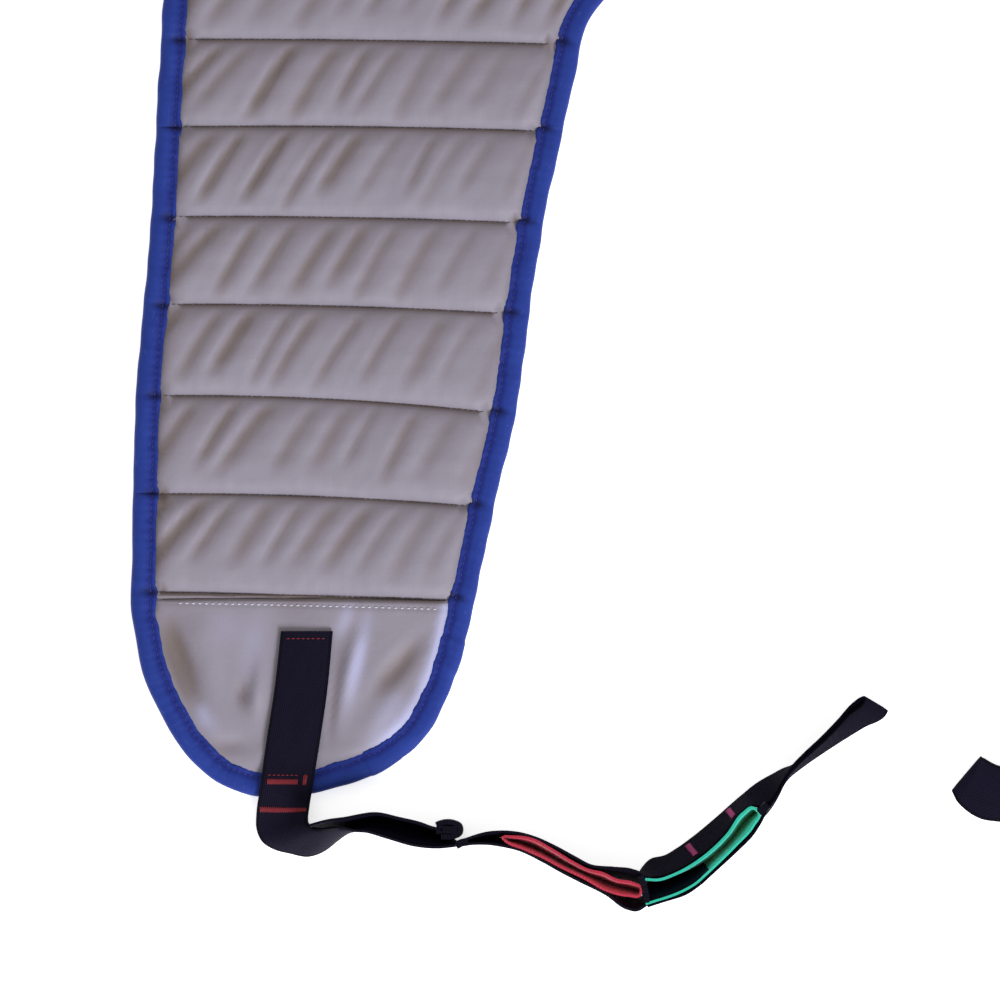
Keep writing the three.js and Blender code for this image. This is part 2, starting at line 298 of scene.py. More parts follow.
def line_waves(seed, lengths, size):
    """The same along one line."""
    random = np.random.default_rng(seed)
    phase = random.uniform(0, 2 * math.pi, LINE_WAVES)
    length = random.uniform(*lengths, LINE_WAVES)
    return lambda s: size / 2.8 * sum(np.sin(2 * math.pi * s / w + f) for w, f in zip(length, phase))


# ---- the outline, from the frame ----

SHARED_EDGE = 1.2           # an edge this near to another node isn't on the outside
SAME_POINT = 0.8            # points nearer than this are taken as one


def underside_edges(node):
    """The edges round a CAD node's underside, each with the node's material on one side."""
    mesh = frame["nodes"][node].data
    place = [(round(v.co.x / MM, 2), round(v.co.y / MM, 2), v.co.z / MM) for v in mesh.vertices]
    edges = set()
    for polygon in mesh.polygons:
        corners = [place[i] for i in polygon.vertices]
        if polygon.normal.z > -0.9 or max(c[2] for c in corners) > 0.1:
            continue
        flat = [c[:2] for c in corners]
        for a, b in zip(flat, flat[1:] + flat[:1]):
            if (b, a) in edges:
                edges.remove((b, a))
            elif a != b:
                edges.add((a, b))
    return edges


def sling_outline():
    """The outer edge as one closed smooth curve, anticlockwise from the top of the head support."""
    pads = [n for n in sorted(frame["nodes"]) if "binding" in n or "panel" in n or "channel" in n
            or n.endswith("flap") or n == "head_pad"]
    edges = {n: sorted(underside_edges(n)) for n in pads}
    outer = []
    for name in (n for n in pads if "binding" in n):
        others = np.array([e for n in pads if n != name for e in edges[n]])
        start, run = others[:, 0], others[:, 1] - others[:, 0]
        for a, b in edges[name]:
            middle = (np.array(a) + np.array(b)) / 2
            share = ((middle - start) * run).sum(1) / (run**2).sum(1)
            near = start + np.clip(share, 0, 1)[:, None] * run
            if np.linalg.norm(middle - near, axis=1).min() > SHARED_EDGE:
                outer.append((a, b))
    outer = np.array(outer)
    chain = [0]
    left = set(range(1, len(outer)))
    while left:
        rest = np.array(sorted(left))
        gap = np.linalg.norm(outer[rest, 0] - outer[chain[-1], 1], axis=1)
        chain.append(int(rest[gap.argmin()]))
        left.remove(chain[-1])
    points = outer[chain, 0]
    apart = np.linalg.norm(points - np.roll(points, 1, axis=0), axis=1) > SAME_POINT
    points = points[apart]
    x, y = points.T
    if (x * np.roll(y, -1) - y * np.roll(x, -1)).sum() < 0:
        points = points[::-1]
    top = np.argmax(points[:, 1] - 0.05 * np.abs(points[:, 0]))
    line = smooth_path(np.roll(points, -top, axis=0), 2.0, closed=True)
    for _ in range(OUTLINE_SMOOTHING):
        line = 0.5 * line + 0.25 * (np.roll(line, 1, axis=0) + np.roll(line, -1, axis=0))
    return line


OUTLINE = sling_outline()
INWARD = tangents(OUTLINE, closed=True)[:, ::-1] * np.array([-1, 1])
OUTLINE_LENGTH = np.linalg.norm(np.roll(OUTLINE, -1, axis=0) - OUTLINE, axis=1).sum()

edge_tree = KDTree(len(OUTLINE))
for place, (edge_x, edge_y) in enumerate(OUTLINE):
    edge_tree.insert((edge_x, edge_y, 0), place)
edge_tree.balance()


def edge_distance(points):
    """How far inside the outline each point is, less than 0 outside it."""
    result = np.empty(len(points))
    for i, (x, y) in enumerate(points):
        near, index, distance = edge_tree.find((x, y, 0))
        inside = (x - near[0]) * INWARD[index, 0] + (y - near[1]) * INWARD[index, 1]
        result[i] = math.copysign(distance, inside)
    return result


# ---- seams, from the frame ----

def node_points(node):
    """A CAD node's vertices, in millimetres."""
    return np.array([v.co for v in frame["nodes"][node].data.vertices]) / MM


def leg_seam_ends():
    """The outer and inner end of each seam of a leg, as distance from the centre line and y."""
    names = [f"left_leg_channel_{i + 1}" for i in range(FLAP)] + ["left_end_flap"]
    ends = []
    for name in names:
        x, y = node_points(name)[:, :2].T
        ends.append([(-x[i], y[i]) for i in ((y - x).argmax(), (y + x).argmax())])
    return ends


LEG_SEAMS = leg_seam_ends()
back_low, back_high = (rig.box("lower_back_panel")[i].y / MM for i in (0, 1))
neck_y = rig.box("head_pad")[0].y / MM
head_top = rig.box("head_pad")[1].y / MM
BACK_SEAMS = [
    *np.linspace(neck_y, head_top, 5)[1:-1][::-1],
    *np.linspace(back_high, neck_y, 6)[::-1],
    *np.linspace(back_low, back_high, 4)[:-1][::-1],
    (back_low + LEG_SEAMS[0][0][1]) / 2,
]
NECK_CUT = 4                # which of them the head support's pad starts at
HIP_CUT = len(BACK_SEAMS) - 1
FIRST_LEG_SEAM = len(BACK_SEAMS)


def seam_y(index, x):
    """The y of a seam at x. Seams are numbered down the sling from the head."""
    if index < FIRST_LEG_SEAM:
        return BACK_SEAMS[index] + BACK_SEAM_BOW * (1 - (x / BACK_HALF_WIDTH) ** 2)
    number = index - FIRST_LEG_SEAM
    (outer_x, outer_y), (inner_x, inner_y) = LEG_SEAMS[number]
    t = (np.abs(x) - outer_x) / (inner_x - outer_x)
    bow = np.clip(4 * t * (1 - t), 0, 1)
    return outer_y + (inner_y - outer_y) * t + LEG_SEAM_BOW[number] * bow


SEAM_COUNT = FIRST_LEG_SEAM + len(LEG_SEAMS)


def seam_crossings(index, points):
    """Where a closed line of points crosses a seam: (place along the points, x)."""
    offset = points[:, 1] - seam_y(index, points[:, 0])
    after = np.roll(offset, -1)
    found = []
    for i in np.nonzero(offset * after <= 0)[0]:
        if offset[i] == after[i]:
            continue
        share = offset[i] / (offset[i] - after[i])
        following = points[(i + 1) % len(points)]
        found.append((i + share, points[i, 0] + share * (following[0] - points[i, 0])))
    return found


# ---- zones: lengths of the pad that each cross one joint ----

ZONES = ["head", "back"] + [f"{label}_{part}" for label, _ in SIDES for part in ("hip", "knee", "end")]


def zone_of(points):
    """The number of the zone that each point is in."""
    x, y = points.T
    leg = np.where(x < 0, 2, 5)
    zone = np.where(y > seam_y(FIRST_LEG_SEAM + SHIN_CUT, x), leg + 1, leg + 2)
    zone = np.where(y > seam_y(FIRST_LEG_SEAM + THIGH_CUT, x), leg, zone)
    zone = np.where(y > seam_y(HIP_CUT, x), 1, zone)
    return np.where(y > seam_y(NECK_CUT, x), 0, zone)


def joint_place(name):
    """A joint's place and axis."""
    joint = next(j for j in frame["joints"] if j["name"] == name)
    return Vector(joint["pos_m"]), Vector(joint["axis"])


def bend_across(piece, joint, before, after, half):
    """Blends a piece over a hinge, half a width each side of it, along the pad."""
    place, axis = joint_place(joint)
    along = Vector((axis.y, -axis.x, 0)).normalized()
    if joint == "head_support_fold":
        along = Vector((0, 1, 0))
    elif along.y > 0:
        along = -along
    reach = along * half * MM
    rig.blend(piece, before, after, start=place - reach, end=place + reach)


def follow(piece, zone):
    """Makes a piece move as its zone does."""
    if zone == "head":
        bend_across(piece, "head_support_fold", "back", "head_support", END_BEND)
    elif zone == "back":
        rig.ride(piece, "back")
    else:
        label, part = zone.split("_")
        if part == "hip":
            bend_across(piece, f"{label}_hip_fold", "back", f"{label}_thigh", BEND)
        elif part == "knee":
            bend_across(piece, f"{label}_knee_fold", f"{label}_thigh", f"{label}_lower_leg", BEND)
        else:
            bend_across(piece, f"{label}_flap_fold", f"{label}_lower_leg", f"{label}_flap", END_BEND)


# ---- meshes ----

def piece(name, vertices, faces, finish, corner_uvs=None, sharp=75):
    """A mesh object from vertices in millimetres. Edges over the sharp angle, in degrees, stay sharp."""
    mesh = bpy.data.meshes.new(name)
    mesh.from_pydata((np.asarray(vertices) * MM).tolist(), [], faces)
    mesh.shade_smooth()
    mesh.set_sharp_from_angle(angle=math.radians(sharp))
    if corner_uvs is not None:
        layer = mesh.uv_layers.new(name="rest")
        layer.data.foreach_set("uv", (np.asarray(corner_uvs) * MM).astype(np.float32).ravel())
    mesh.materials.append(finish)
    made = bpy.data.objects.new(name, mesh)
    bpy.context.scene.collection.objects.link(made)
    return made


def set_painted_shading(made, values):
    """Stores each vertex's painted shade for the materials, deepest in creases; less than 0 is a painted highlight."""
    attribute = made.data.attributes.new("painted_shading", "FLOAT", "POINT")
    attribute.data.foreach_set("value", values.astype(np.float32).ravel())


def volume(vertices, quads):
    """Less than 0 if the faces of a closed body face inward."""
    a, b, c, d = (vertices[quads[:, i]] for i in range(4))
    return (np.cross(a, b) * c).sum() + (np.cross(a, c) * d).sum()


def swept(rings, across, along, closed=False):
    """The faces of a body through a row of closed sections, and a UV for each face corner.
    across is each section point's own coordinate, and along is each section's."""
    count, size = rings.shape[:2]
    last = count if closed else count - 1
    i, j = np.meshgrid(np.arange(last), np.arange(size), indexing="ij")
    i, j = i.ravel(), j.ravel()
    i2, j2 = (i + 1) % count, (j + 1) % size
    quads = np.stack([i * size + j, i2 * size + j, i2 * size + j2, i * size + j2], axis=1)
    along = np.append(along, 2 * along[-1] - along[-2])
    u, u2, v, v2 = across[j], across[j2], along[i], along[i + 1]
    uvs = np.stack([u, v, u, v2, u2, v2, u2, v], axis=1).reshape(-1, 4, 2)
    inward = volume(rings.reshape(-1, 3), quads) < 0
    if inward:
        quads, uvs = quads[:, ::-1], uvs[:, ::-1]
    faces = quads.tolist()
    corner_uvs = [uvs.reshape(-1, 2)]
    if not closed:
        start = list(range(size))
        end = list(range((count - 1) * size, count * size))
        caps = [start[::-1], end] if inward else [start, end[::-1]]
        for cap, v_end in zip(caps, (along[0], along[count - 1])):
            faces.append(cap)
            corner_uvs.append(np.stack([across[np.array(cap) % size], np.full(size, v_end)], axis=1))
    return faces, np.vstack(corner_uvs)


# ---- materials ----

class Nodes:
    """A short way to write a material's nodes."""

    def __init__(self, name):
        self.material = bpy.data.materials.new(name)
        self.material.use_nodes = True
        self.tree = self.material.node_tree
        self.shader = self.tree.nodes["Principled BSDF"]

    def add(self, kind, settings=None, **inputs):
        node = self.tree.nodes.new("ShaderNode" + kind)
        for key, value in (settings or {}).items():
            setattr(node, key, value)
        for key, value in inputs.items():
            self.link(node, key.replace("_", " "), value)
        return node

    def link(self, node, socket, value):
        target = node.inputs[int(socket)] if socket.isdigit() else node.inputs[socket]
        if isinstance(value, bpy.types.NodeSocket):
            self.tree.links.new(value, target)
        else:
            target.default_value = value

    def math(self, operation, a, b=0.0):
        node = self.add("Math", {"operation": operation})
        self.link(node, "0", a)
        self.link(node, "1", b)
        return node.outputs[0]

    def mix(self, share, a, b):
        node = self.add("Mix", {"data_type": "RGBA"})
        self.link(node, "0", share)
        self.link(node, "6", a)
        self.link(node, "7", b)
        return node.outputs[2]

    def rest(self):
        return self.add("UVMap", {"uv_map": "rest"}).outputs[0]

    def rest_axes(self):
        """The coordinate across a piece of cloth and the one along it."""
        return self.add("SeparateXYZ", Vector=self.rest()).outputs[:2]

    # The painted shade stored on the vertices; less than 0 is a painted highlight.
    def painted_shading(self):
        return self.add("Attribute", {"attribute_name": "painted_shading"}).outputs["Fac"]

    def place(self, *scale):
        """The place in the object's own axes, with each axis scaled."""
        where = self.add("TexCoord").outputs["Object"]
        return self.add("Mapping", Vector=where, Scale=scale).outputs[0] if scale else where

    def scaled(self, x, y):
        return self.add("Mapping", Vector=self.rest(), Scale=(x, y, 1)).outputs[0]

    def noise(self, vector, detail=3.0, roughness=0.55):
        node = self.add("TexNoise", Vector=vector, Scale=1.0, Detail=detail, Roughness=roughness)
        return node.outputs[0]

    def ridges(self, coordinate, pitch):
        """A wave across a coordinate, from 0 to 1, with that pitch in millimetres."""
        turns = self.math("MULTIPLY", coordinate, 2 * math.pi / (pitch * MM))
        return self.math("MULTIPLY_ADD", self.math("SINE", turns), 0.5)

    def bump(self, height, distance, strength=1.0, normal=None):
        node = self.add("Bump", Height=height, Distance=distance * MM, Strength=strength)
        if normal is not None:
            self.link(node, "Normal", normal)
        return node.outputs[0]

    def set(self, **values):
        for key, value in values.items():
            self.link(self.shader, key.replace("_", " "), value)


def colour(red, green, blue):
    """A linear colour from 0 to 255 values."""
    def channel(value):
        value /= 255
        return value / 12.92 if value <= 0.04045 else ((value + 0.055) / 1.055) ** 2.4
    return (channel(red), channel(green), channel(blue), 1.0)


def quilt_material():
    """Close-woven grey nylon over wadding, with painted shade that makes it browner down in its creases and a painted
    highlight that makes it paler where it shines.
    """
    n = Nodes("quilt_nylon")
    cloudy = n.noise(n.scaled(14, 14), 4)
    shade = n.mix(cloudy, colour(134, 126, 135), colour(144, 137, 150))
    worn = n.noise(n.scaled(90, 90), 5, 0.7)
    shade = n.mix(n.math("MULTIPLY", worn, 0.25), shade, colour(124, 115, 119))
    painted_shading = n.painted_shading()
    # Painted shade: browner in the creases, seams, dents and along the binding.
    shade = n.mix(painted_shading, shade, colour(96, 80, 64))
    # Painted highlight: paler and bluer where the stored value is less than 0.
    shade = n.mix(n.math("MULTIPLY", painted_shading, -1), shade, colour(186, 188, 226))
    warp, weft = (n.ridges(axis, 0.9) for axis in n.rest_axes())
    weave = n.math("MULTIPLY", warp, weft)
    # The weave's pattern, with a painted highlight on its raised threads.
    shade = n.mix(n.math("MULTIPLY", weave, 0.10), shade, colour(160, 153, 168))
    soft = n.bump(n.noise(n.scaled(160, 160), 3), 0.5, 0.5)
    n.set(Base_Color=shade, Normal=n.bump(weave, 0.10, 0.5, soft))
    n.set(Roughness=n.math("MULTIPLY_ADD", cloudy, 0.12))
    n.shader.inputs["Roughness"].links[0].from_node.inputs[2].default_value = 0.50
    n.set(Sheen_Weight=0.25, Sheen_Roughness=0.5, Specular_IOR_Level=0.35)
    return n.material


def tape_material():
    """Blue polyester binding tape: fine ribs along it, darker from painted shade in the groove where it is stitched
    down and where a seam pulls it down.
    """
    n = Nodes("binding_tape")
    across, along = n.rest_axes()
    cloudy = n.noise(n.scaled(60, 35), 4)
    shade = n.mix(cloudy, colour(22, 40, 118), colour(36, 62, 146))
    # Painted shade in the groove of the stitch row.
    row = n.math("ABSOLUTE", n.math("SUBTRACT", across, TAPE_STITCH * MM))
    groove_shade = n.math("SUBTRACT", 1.0, n.math("MULTIPLY", row, 1 / (4.5 * MM)))
    groove_shade = n.math("MULTIPLY", n.math("MAXIMUM", groove_shade, 0.0), 0.75)
    shade = n.mix(groove_shade, shade, colour(14, 22, 104))
    # Painted shade where a seam pulls the tape down.
    shade = n.mix(n.painted_shading(), shade, colour(8, 10, 58))
    worn = n.noise(n.scaled(300, 120), 5, 0.75)
    worn = n.math("MULTIPLY", n.math("GREATER_THAN", worn, 0.62), 0.20)
    shade = n.mix(worn, shade, colour(74, 92, 160))
    ribs = n.ridges(along, 0.8)
    soft = n.bump(n.noise(n.scaled(220, 120), 3), 0.5, 0.6)
    n.set(Base_Color=shade, Normal=n.bump(ribs, 0.10, 0.6, soft))
    n.set(Roughness=0.62, Sheen_Weight=0.1, Sheen_Roughness=0.45, Specular_IOR_Level=0.18)
    return n.material


def tinted(shade, amount):
    """A colour made lighter or darker."""
    return tuple(min(1, amount * c) for c in shade[:3]) + (1,)


def webbing_material(name, low, high, roughness, sheen, edge=None, gloss=0.25):
    """Woven strap: cross ribs with a herringbone and closer edges."""
    n = Nodes(name)
    across, along = n.rest_axes()
    rib = n.ridges(along, 1.7)
    side = n.math("ABSOLUTE", n.math("SUBTRACT", across, WEBBING / 2 * MM))
    twill = n.ridges(n.math("ADD", along, side), 2.6)
    cords = n.ridges(across, 1.5)
    weave = n.math("MULTIPLY", n.math("ADD", rib, twill), cords)
    cloudy = n.noise(n.scaled(120, 50), 4)
    shade = n.mix(cloudy, low, high)
    # An edge colour is a painted highlight that grows towards the webbing's upper edge.
    if edge is not None:
        share = n.math("MULTIPLY", across, 1 / (WEBBING * MM))
        shade = n.mix(n.math("POWER", share, 2.0), shade, edge)
    # The weave's pattern, with a painted highlight on its raised ribs.
    shade = n.mix(n.math("MULTIPLY", weave, 0.22), shade, tinted(high, 1.9))
    selvedge = n.math("GREATER_THAN", side, (WEBBING / 2 - SELVEDGE) * MM)
    shade = n.mix(n.math("MULTIPLY", selvedge, 0.6), shade, tinted(low, 0.45))
    soft = n.bump(n.noise(n.scaled(260, 110), 3), 0.4, 0.5)
    n.set(Base_Color=shade, Normal=n.bump(weave, 0.25, 0.7, soft))
    n.set(Roughness=roughness, Sheen_Weight=sheen, Sheen_Roughness=0.4, Specular_IOR_Level=gloss)
    return n.material


def thread_material(name, shade):
    """Twisted sewing thread."""
    n = Nodes(name)
    twist = n.noise(n.place(900, 900, 900), 2)
    n.set(Base_Color=n.mix(twist, tinted(shade, 0.6), shade), Roughness=0.7, Sheen_Weight=0.05)
    n.set(Normal=n.bump(twist, 0.15, 0.5))
    return n.material


def plastic_material():
    """The off-white plastic of the head stays, drawn out along them."""
    n = Nodes("stay_plastic")
    grain = n.noise(n.place(400, 60, 400), 4)
    n.set(Base_Color=n.mix(grain, colour(214, 211, 202), colour(236, 234, 228)))
    n.set(Roughness=0.42, Normal=n.bump(grain, 0.08, 0.4))
    return n.material


def floor_material():
    """The photo's white ground."""
    n = Nodes("pale_floor")
    n.set(Base_Color=n.mix(n.noise(n.place(), 2), colour(250, 250, 251), colour(253, 253, 253)))
    n.set(Roughness=0.9, Specular_IOR_Level=0.1, Emission_Color=(1, 1, 1, 1), Emission_Strength=0.65)
    return n.material


QUILT = quilt_material()
TAPE_BLUE = tape_material()
BLACK = webbing_material(
    "black_webbing", colour(10, 9, 17), colour(20, 16, 35), roughness=0.6, sheen=0.0, gloss=0.06)
# A darker, duller copy of the black webbing for the upright green and end loop: painted shade.
LOOP_BLACK_PAINTED_DARKER = webbing_material(
    "loop_webbing", colour(6, 5, 10), colour(14, 11, 26), roughness=0.85, sheen=0.0, gloss=0.02)
# The linings' edge colours are painted highlights along their upper edges.
RED = webbing_material(
    "red_webbing", colour(150, 10, 32), colour(186, 26, 52), roughness=0.6, sheen=0.2,
    edge=colour(226, 62, 92))
GREEN = webbing_material(
    "green_webbing", colour(26, 188, 108), colour(40, 204, 128), roughness=0.55, sheen=0.3,
    edge=colour(60, 222, 222))
BLUE_THREAD = thread_material("blue_thread", colour(34, 44, 122))
GREY_THREAD = thread_material("grey_thread", colour(96, 84, 84))
WHITE_THREAD = thread_material("white_thread", colour(214, 210, 222))
RED_THREAD = thread_material("red_thread", colour(132, 4, 28))
MAGENTA_THREAD = thread_material("magenta_thread", colour(158, 14, 100))
PLASTIC = plastic_material()


# ---- the pad's surface ----

def channel_place(points):
    """For each point: which seam is above it, how far down to it and up from the next one."""
    x, y = points.T
    lines = np.array([seam_y(i, x) for i in range(SEAM_COUNT)])
    above = (lines > y).sum(0)
    padded = np.vstack([np.full(len(x), 1e4), lines, np.full(len(x), -1e4)])
    columns = np.arange(len(x))
    return above, padded[above, columns] - y, y - padded[above + 1, columns]


# The slanted valleys in each channel. Each pair is the range of a random draw.
STREAK_GAP = (19, 34)
STREAK_DEPTH = (1.2, 2.4)
STREAK_WIDTH = (4.2, 6.6)
STREAK_REACH = (0.82, 1.06)         # down from the seam, as a share of the channel
STREAK_SLANT = (-5, 5)              # degrees, on top of the slant below
STREAK_STEEPEST = 64                # slant at the inner edge
STREAK_EASING = 14                  # and how much less it is at the outer edge
STREAK_START = 12                   # how far below the seam a valley has its full depth
STREAK_INNER, STREAK_MORE = 0.35, 1.45      # a leg's valleys at its inner edge, and how much more outside
STREAK_BODY = 0.8                   # and those of the back, as shares of their depth
SWELL, SWELL_PLACE = 0.3, 1.8       # the rise along both sides of a valley
MARGIN = 30                         # how far outside the pad the valleys begin


def streak_dents(points, above, down):
    """Valleys that the wadding leaves in each channel, deepest towards the outer edge of a leg."""
    x = points[:, 0]
    dent = np.zeros(len(x))
    for channel in range(1, SEAM_COUNT):
        for _, side in SIDES:
            here = np.nonzero((above == channel) & (x * side > 0))[0]
            if not len(here):
                continue
            random = np.random.default_rng(100 * channel + (side + 1) * 7 + 3)
            out = np.abs(x[here])
            leg = channel > FIRST_LEG_SEAM
            near, far = (out.min(), out.max() + MARGIN + 10) if leg else (MARGIN, out.max() + MARGIN)
            at = near - MARGIN
            while at < far:
                share = np.clip((at - near) / max(far - near, 1), 0, 1)
                amount = STREAK_INNER + STREAK_MORE * share if leg else STREAK_BODY
                depth = random.uniform(*STREAK_DEPTH) * amount
                slant = random.uniform(*STREAK_SLANT) + STREAK_STEEPEST - STREAK_EASING * share
                slope = math.radians(slant)
                width = random.uniform(*STREAK_WIDTH)
                reach = random.uniform(*STREAK_REACH) * CHANNEL
                t = down[here] / CHANNEL
                shift = CHANNEL / math.tan(slope) * (1.3 * t - 0.3 * t * t)
                across = (out - at - shift) * math.sin(slope) / width
                fade = np.clip(down[here] / STREAK_START, 0, 1)
                fade = fade * np.clip((reach - down[here]) / (0.3 * reach), 0, 1)
                swell = np.exp(-(across - SWELL_PLACE) ** 2) + np.exp(-(across + SWELL_PLACE) ** 2)
                dent[here] += depth * (np.exp(-across**2) - SWELL * swell) * fade
                at += random.uniform(*STREAK_GAP)
    return dent


slow_noise = waves(11, (45, 120), 0.55)
fine_noise = waves(12, (14, 34), 0.22)
pucker_phase = waves(13, (50, 130), 2.4)
flap_noise = waves(14, (40, 90), 0.7)

# Soft dents and swells of an end flap: (distance out from the centre line, y, size across, size along,
# lean from the y axis in degrees, height).
FLAP_FORMS = (
    (531, -806, 9, 32, -14, -3.4), (510, -812, 8, 24, -10, 1.8), (488, -824, 4.5, 9, 0, -2.4),
    (477, -820, 4.5, 18, 6, 2.6), (496, -861, 14, 7, 0, -1.6), (422, -829, 2.6, 24, 6, -1.8),
    (410, -802, 5, 24, 12, 3.2), (376, -804, 7, 25, 40, -3.2), (349, -803, 5, 26, 13, 2.8),
    (392, -842, 8, 20, 34, 1.2), (405, -866, 18, 7, 0, 1), (405, -775, 7, 8, 0, -1.2),
    (450, -866, 26, 7, 0, 1.2), (520, -780, 12, 12, 0, 1),
)
FLAP_RELIEF = 1.5           # what those heights are multiplied by
# Painted highlights where the flap's fabric shines, or painted shade that makes it duller where the amount is less
# than 0, in the same order.
FLAP_PAINTED_LIGHT = ((405, -800, 5, 30, 13, 0.55), (414, -770, 5, 14, 20, 0.3), (518, -836, 6, 15, -36, 0.45),
               (480, -790, 9, 26, 10, 0.15), (382, -836, 9, 22, 34, 0.25), (500, -775, 14, 14, 0, 0.12),
               (535, -790, 9, 34, -14, -0.24), (508, -868, 12, 9, -30, -0.14))
PLEAT_FALL = 5.2            # how far below the flap's seam its second fold is, at the outer edge
PLEAT_DEPTH, PLEAT_WIDTH = 3.0, 1.1
LEDGE = 2.2                 # how soon the flap rises from its seam
STITCH_DROP = 7.8           # and the row of white stitches, at the outer edge
STITCH_FALL = -0.8          # and how much lower that is at the inner edge
STITCH_DEPTH, STITCH_WIDTH = 0.5, 1.6       # of the groove that they sit in


def spots(x, y, rows):
    """The sum of soft oval spots."""
    total = np.zeros(len(x))
    for out, middle, wide, tall, lean, amount in rows:
        turn = math.radians(lean)
        along = (x - out) * math.sin(turn) - (y - middle) * math.cos(turn)
        across = (x - out) * math.cos(turn) + (y - middle) * math.sin(turn)
        total += amount * np.exp(-((across / wide) ** 2) - (along / tall) ** 2)
    return total


def stitch_drop(out):
    """How far below the flap's seam its white stitches are, at a distance out."""
    outer, inner = LEG_SEAMS[FLAP][0][0], LEG_SEAMS[FLAP][1][0]
    return STITCH_DROP + STITCH_FALL * (outer - out) / (outer - inner)


def flap_height(points, down):
    """The top of the end flap."""
    x, y = np.abs(points[:, 0]), points[:, 1]
    height = FLAP_HEIGHT + flap_noise(x, y) + FLAP_RELIEF * spots(x, y, FLAP_FORMS)
    outer, inner = LEG_SEAMS[FLAP][0][0], LEG_SEAMS[FLAP][1][0]
    pleat = PLEAT_FALL * np.clip((x - inner) / (outer - inner), 0, 1)
    fold = np.exp(-((down - pleat) / PLEAT_WIDTH) ** 2)
    ledge = 1 - np.exp(-down / LEDGE)
    sunk = STITCH_DEPTH * np.exp(-((down - stitch_drop(x)) / STITCH_WIDTH) ** 2)
    return SEAM_HEIGHT + (height - SEAM_HEIGHT) * ledge - PLEAT_DEPTH * fold - sunk


LOWEST = 0.4                # the underside of a channel
SEAM_TUCK, TUCK_RUN = 2.6, 3.5      # how much higher it is in a seam, and how soon it's down
RIPPLE, RIPPLE_FADE, RIPPLE_RUN = 0.42, 7, 1.9      # the small puckers beside a seam
END_CROWN = 0.7             # how full the topmost channel is
EDGE_RUN = 4.5              # how soon the pad rises from under the binding
# How dark the painted shade makes the fabric in a valley, in a seam and along the binding, and the darkest.
STREAK_SHADE, SEAM_SHADE, RIM_SHADE, DARKEST = 0.36, 0.75, 0.25, 0.85
# Painted highlight along an end flap's inner edge.
INNER_PAINTED_HIGHLIGHT = 0.6           # how light it is along an end flap's inner edge


def pad_heights(points, edge):
    """The top and the underside of the pad, and the painted shade at each point, from 0 to 1, deepest in
    creases. That is less than 0 where a highlight is painted."""
    above, down, up = channel_place(points)
    near = np.minimum(down, up)
    t = np.clip(down / np.maximum(down + up, 1e-6), 0, 1)
    end = np.maximum(down, up) > 1000
    crown = np.where(end, END_CROWN, 4 * t * (1 - t))
    near = np.maximum(near, 0)
    rise = 1 - np.exp(-near / CHANNEL_RUN)
    x, y = points.T
    ripple = RIPPLE * np.exp(-near / RIPPLE_FADE) * np.sin(x / RIPPLE_RUN + pucker_phase(x, y)) * rise
    streak = streak_dents(points, above, down)
    body = CHANNEL_RISE * rise + CROWN * crown - streak * rise
    top = SEAM_HEIGHT + body + (slow_noise(x, y) + fine_noise(x, y)) * rise + ripple
    flap = above == SEAM_COUNT
    top[flap] = flap_height(points[flap], down[flap])
    # The flap's dents below its height give its painted shade.
    streak[flap] = np.clip(FLAP_HEIGHT - 0.4 - top[flap], 0, 3) * 0.5
    inside = np.clip(edge - TAPE + TUCK, 0, None)
    over = np.clip(top - EDGE_HEIGHT, 0, None)
    top = top - over * np.exp(-inside / EDGE_RUN)
    below = LOWEST + SEAM_TUCK * np.exp(-near / TUCK_RUN) * np.clip(inside / 8, 0, 1)
    # Painted shade: in the valleys, in a band on each seam and faintly below it, and along the binding except at the
    # flap.
    shade = np.clip(STREAK_SHADE * streak * np.clip(near / 3, 0, 1), 0, 0.7)
    shade += SEAM_SHADE * np.exp(-((down - 0.5) / 1.6) ** 2) + 0.03 * np.exp(-down / 12)
    rim = np.where(flap, 0, RIM_SHADE) * np.exp(-inside / 3.0)
    out = np.abs(x[flap])
    inner_rim = np.clip((400 - out) / 20, 0, 1) * np.exp(-((inside[flap] - 3) / 4) ** 2)
    # Painted highlights on the flap and along its inner edge; a spot whose amount is below 0 is painted shade.
    shine = np.zeros(len(points))
    shine[flap] = spots(out, y[flap], FLAP_PAINTED_LIGHT) + INNER_PAINTED_HIGHLIGHT * inner_rim
    return top, below, np.clip(shade + rim, 0, DARKEST) - shine


def pad_boundary():
    """The pad's edge, with a point moved on to each seam, and each seam's ends as places in it."""
    line = OUTLINE + INWARD * (TAPE - TUCK)
    line = smooth_path(line[::2], 3.4, closed=True)
    ends = []
    for index in range(SEAM_COUNT):
        crossings = seam_crossings(index, line)
        places = []
        for place, x in crossings:
            i = round(place) % len(line)
            line[i] = (x, seam_y(index, x))
            places.append(i)
        places.sort(key=lambda i: line[i, 0])
        ends.append(list(zip(places[::2], places[1::2])))
    return line, ends


def hexagonal(low, high, spacing):
    """A grid of points in staggered rows."""
    rows = np.arange(low[1], high[1], spacing * 0.866)
    found = []
    for i, y in enumerate(rows):
        x = np.arange(low[0] + (i % 2) * spacing / 2, high[0], spacing)
        found.append(np.stack([x, np.full(len(x), y)], axis=1))
    return np.vstack(found)


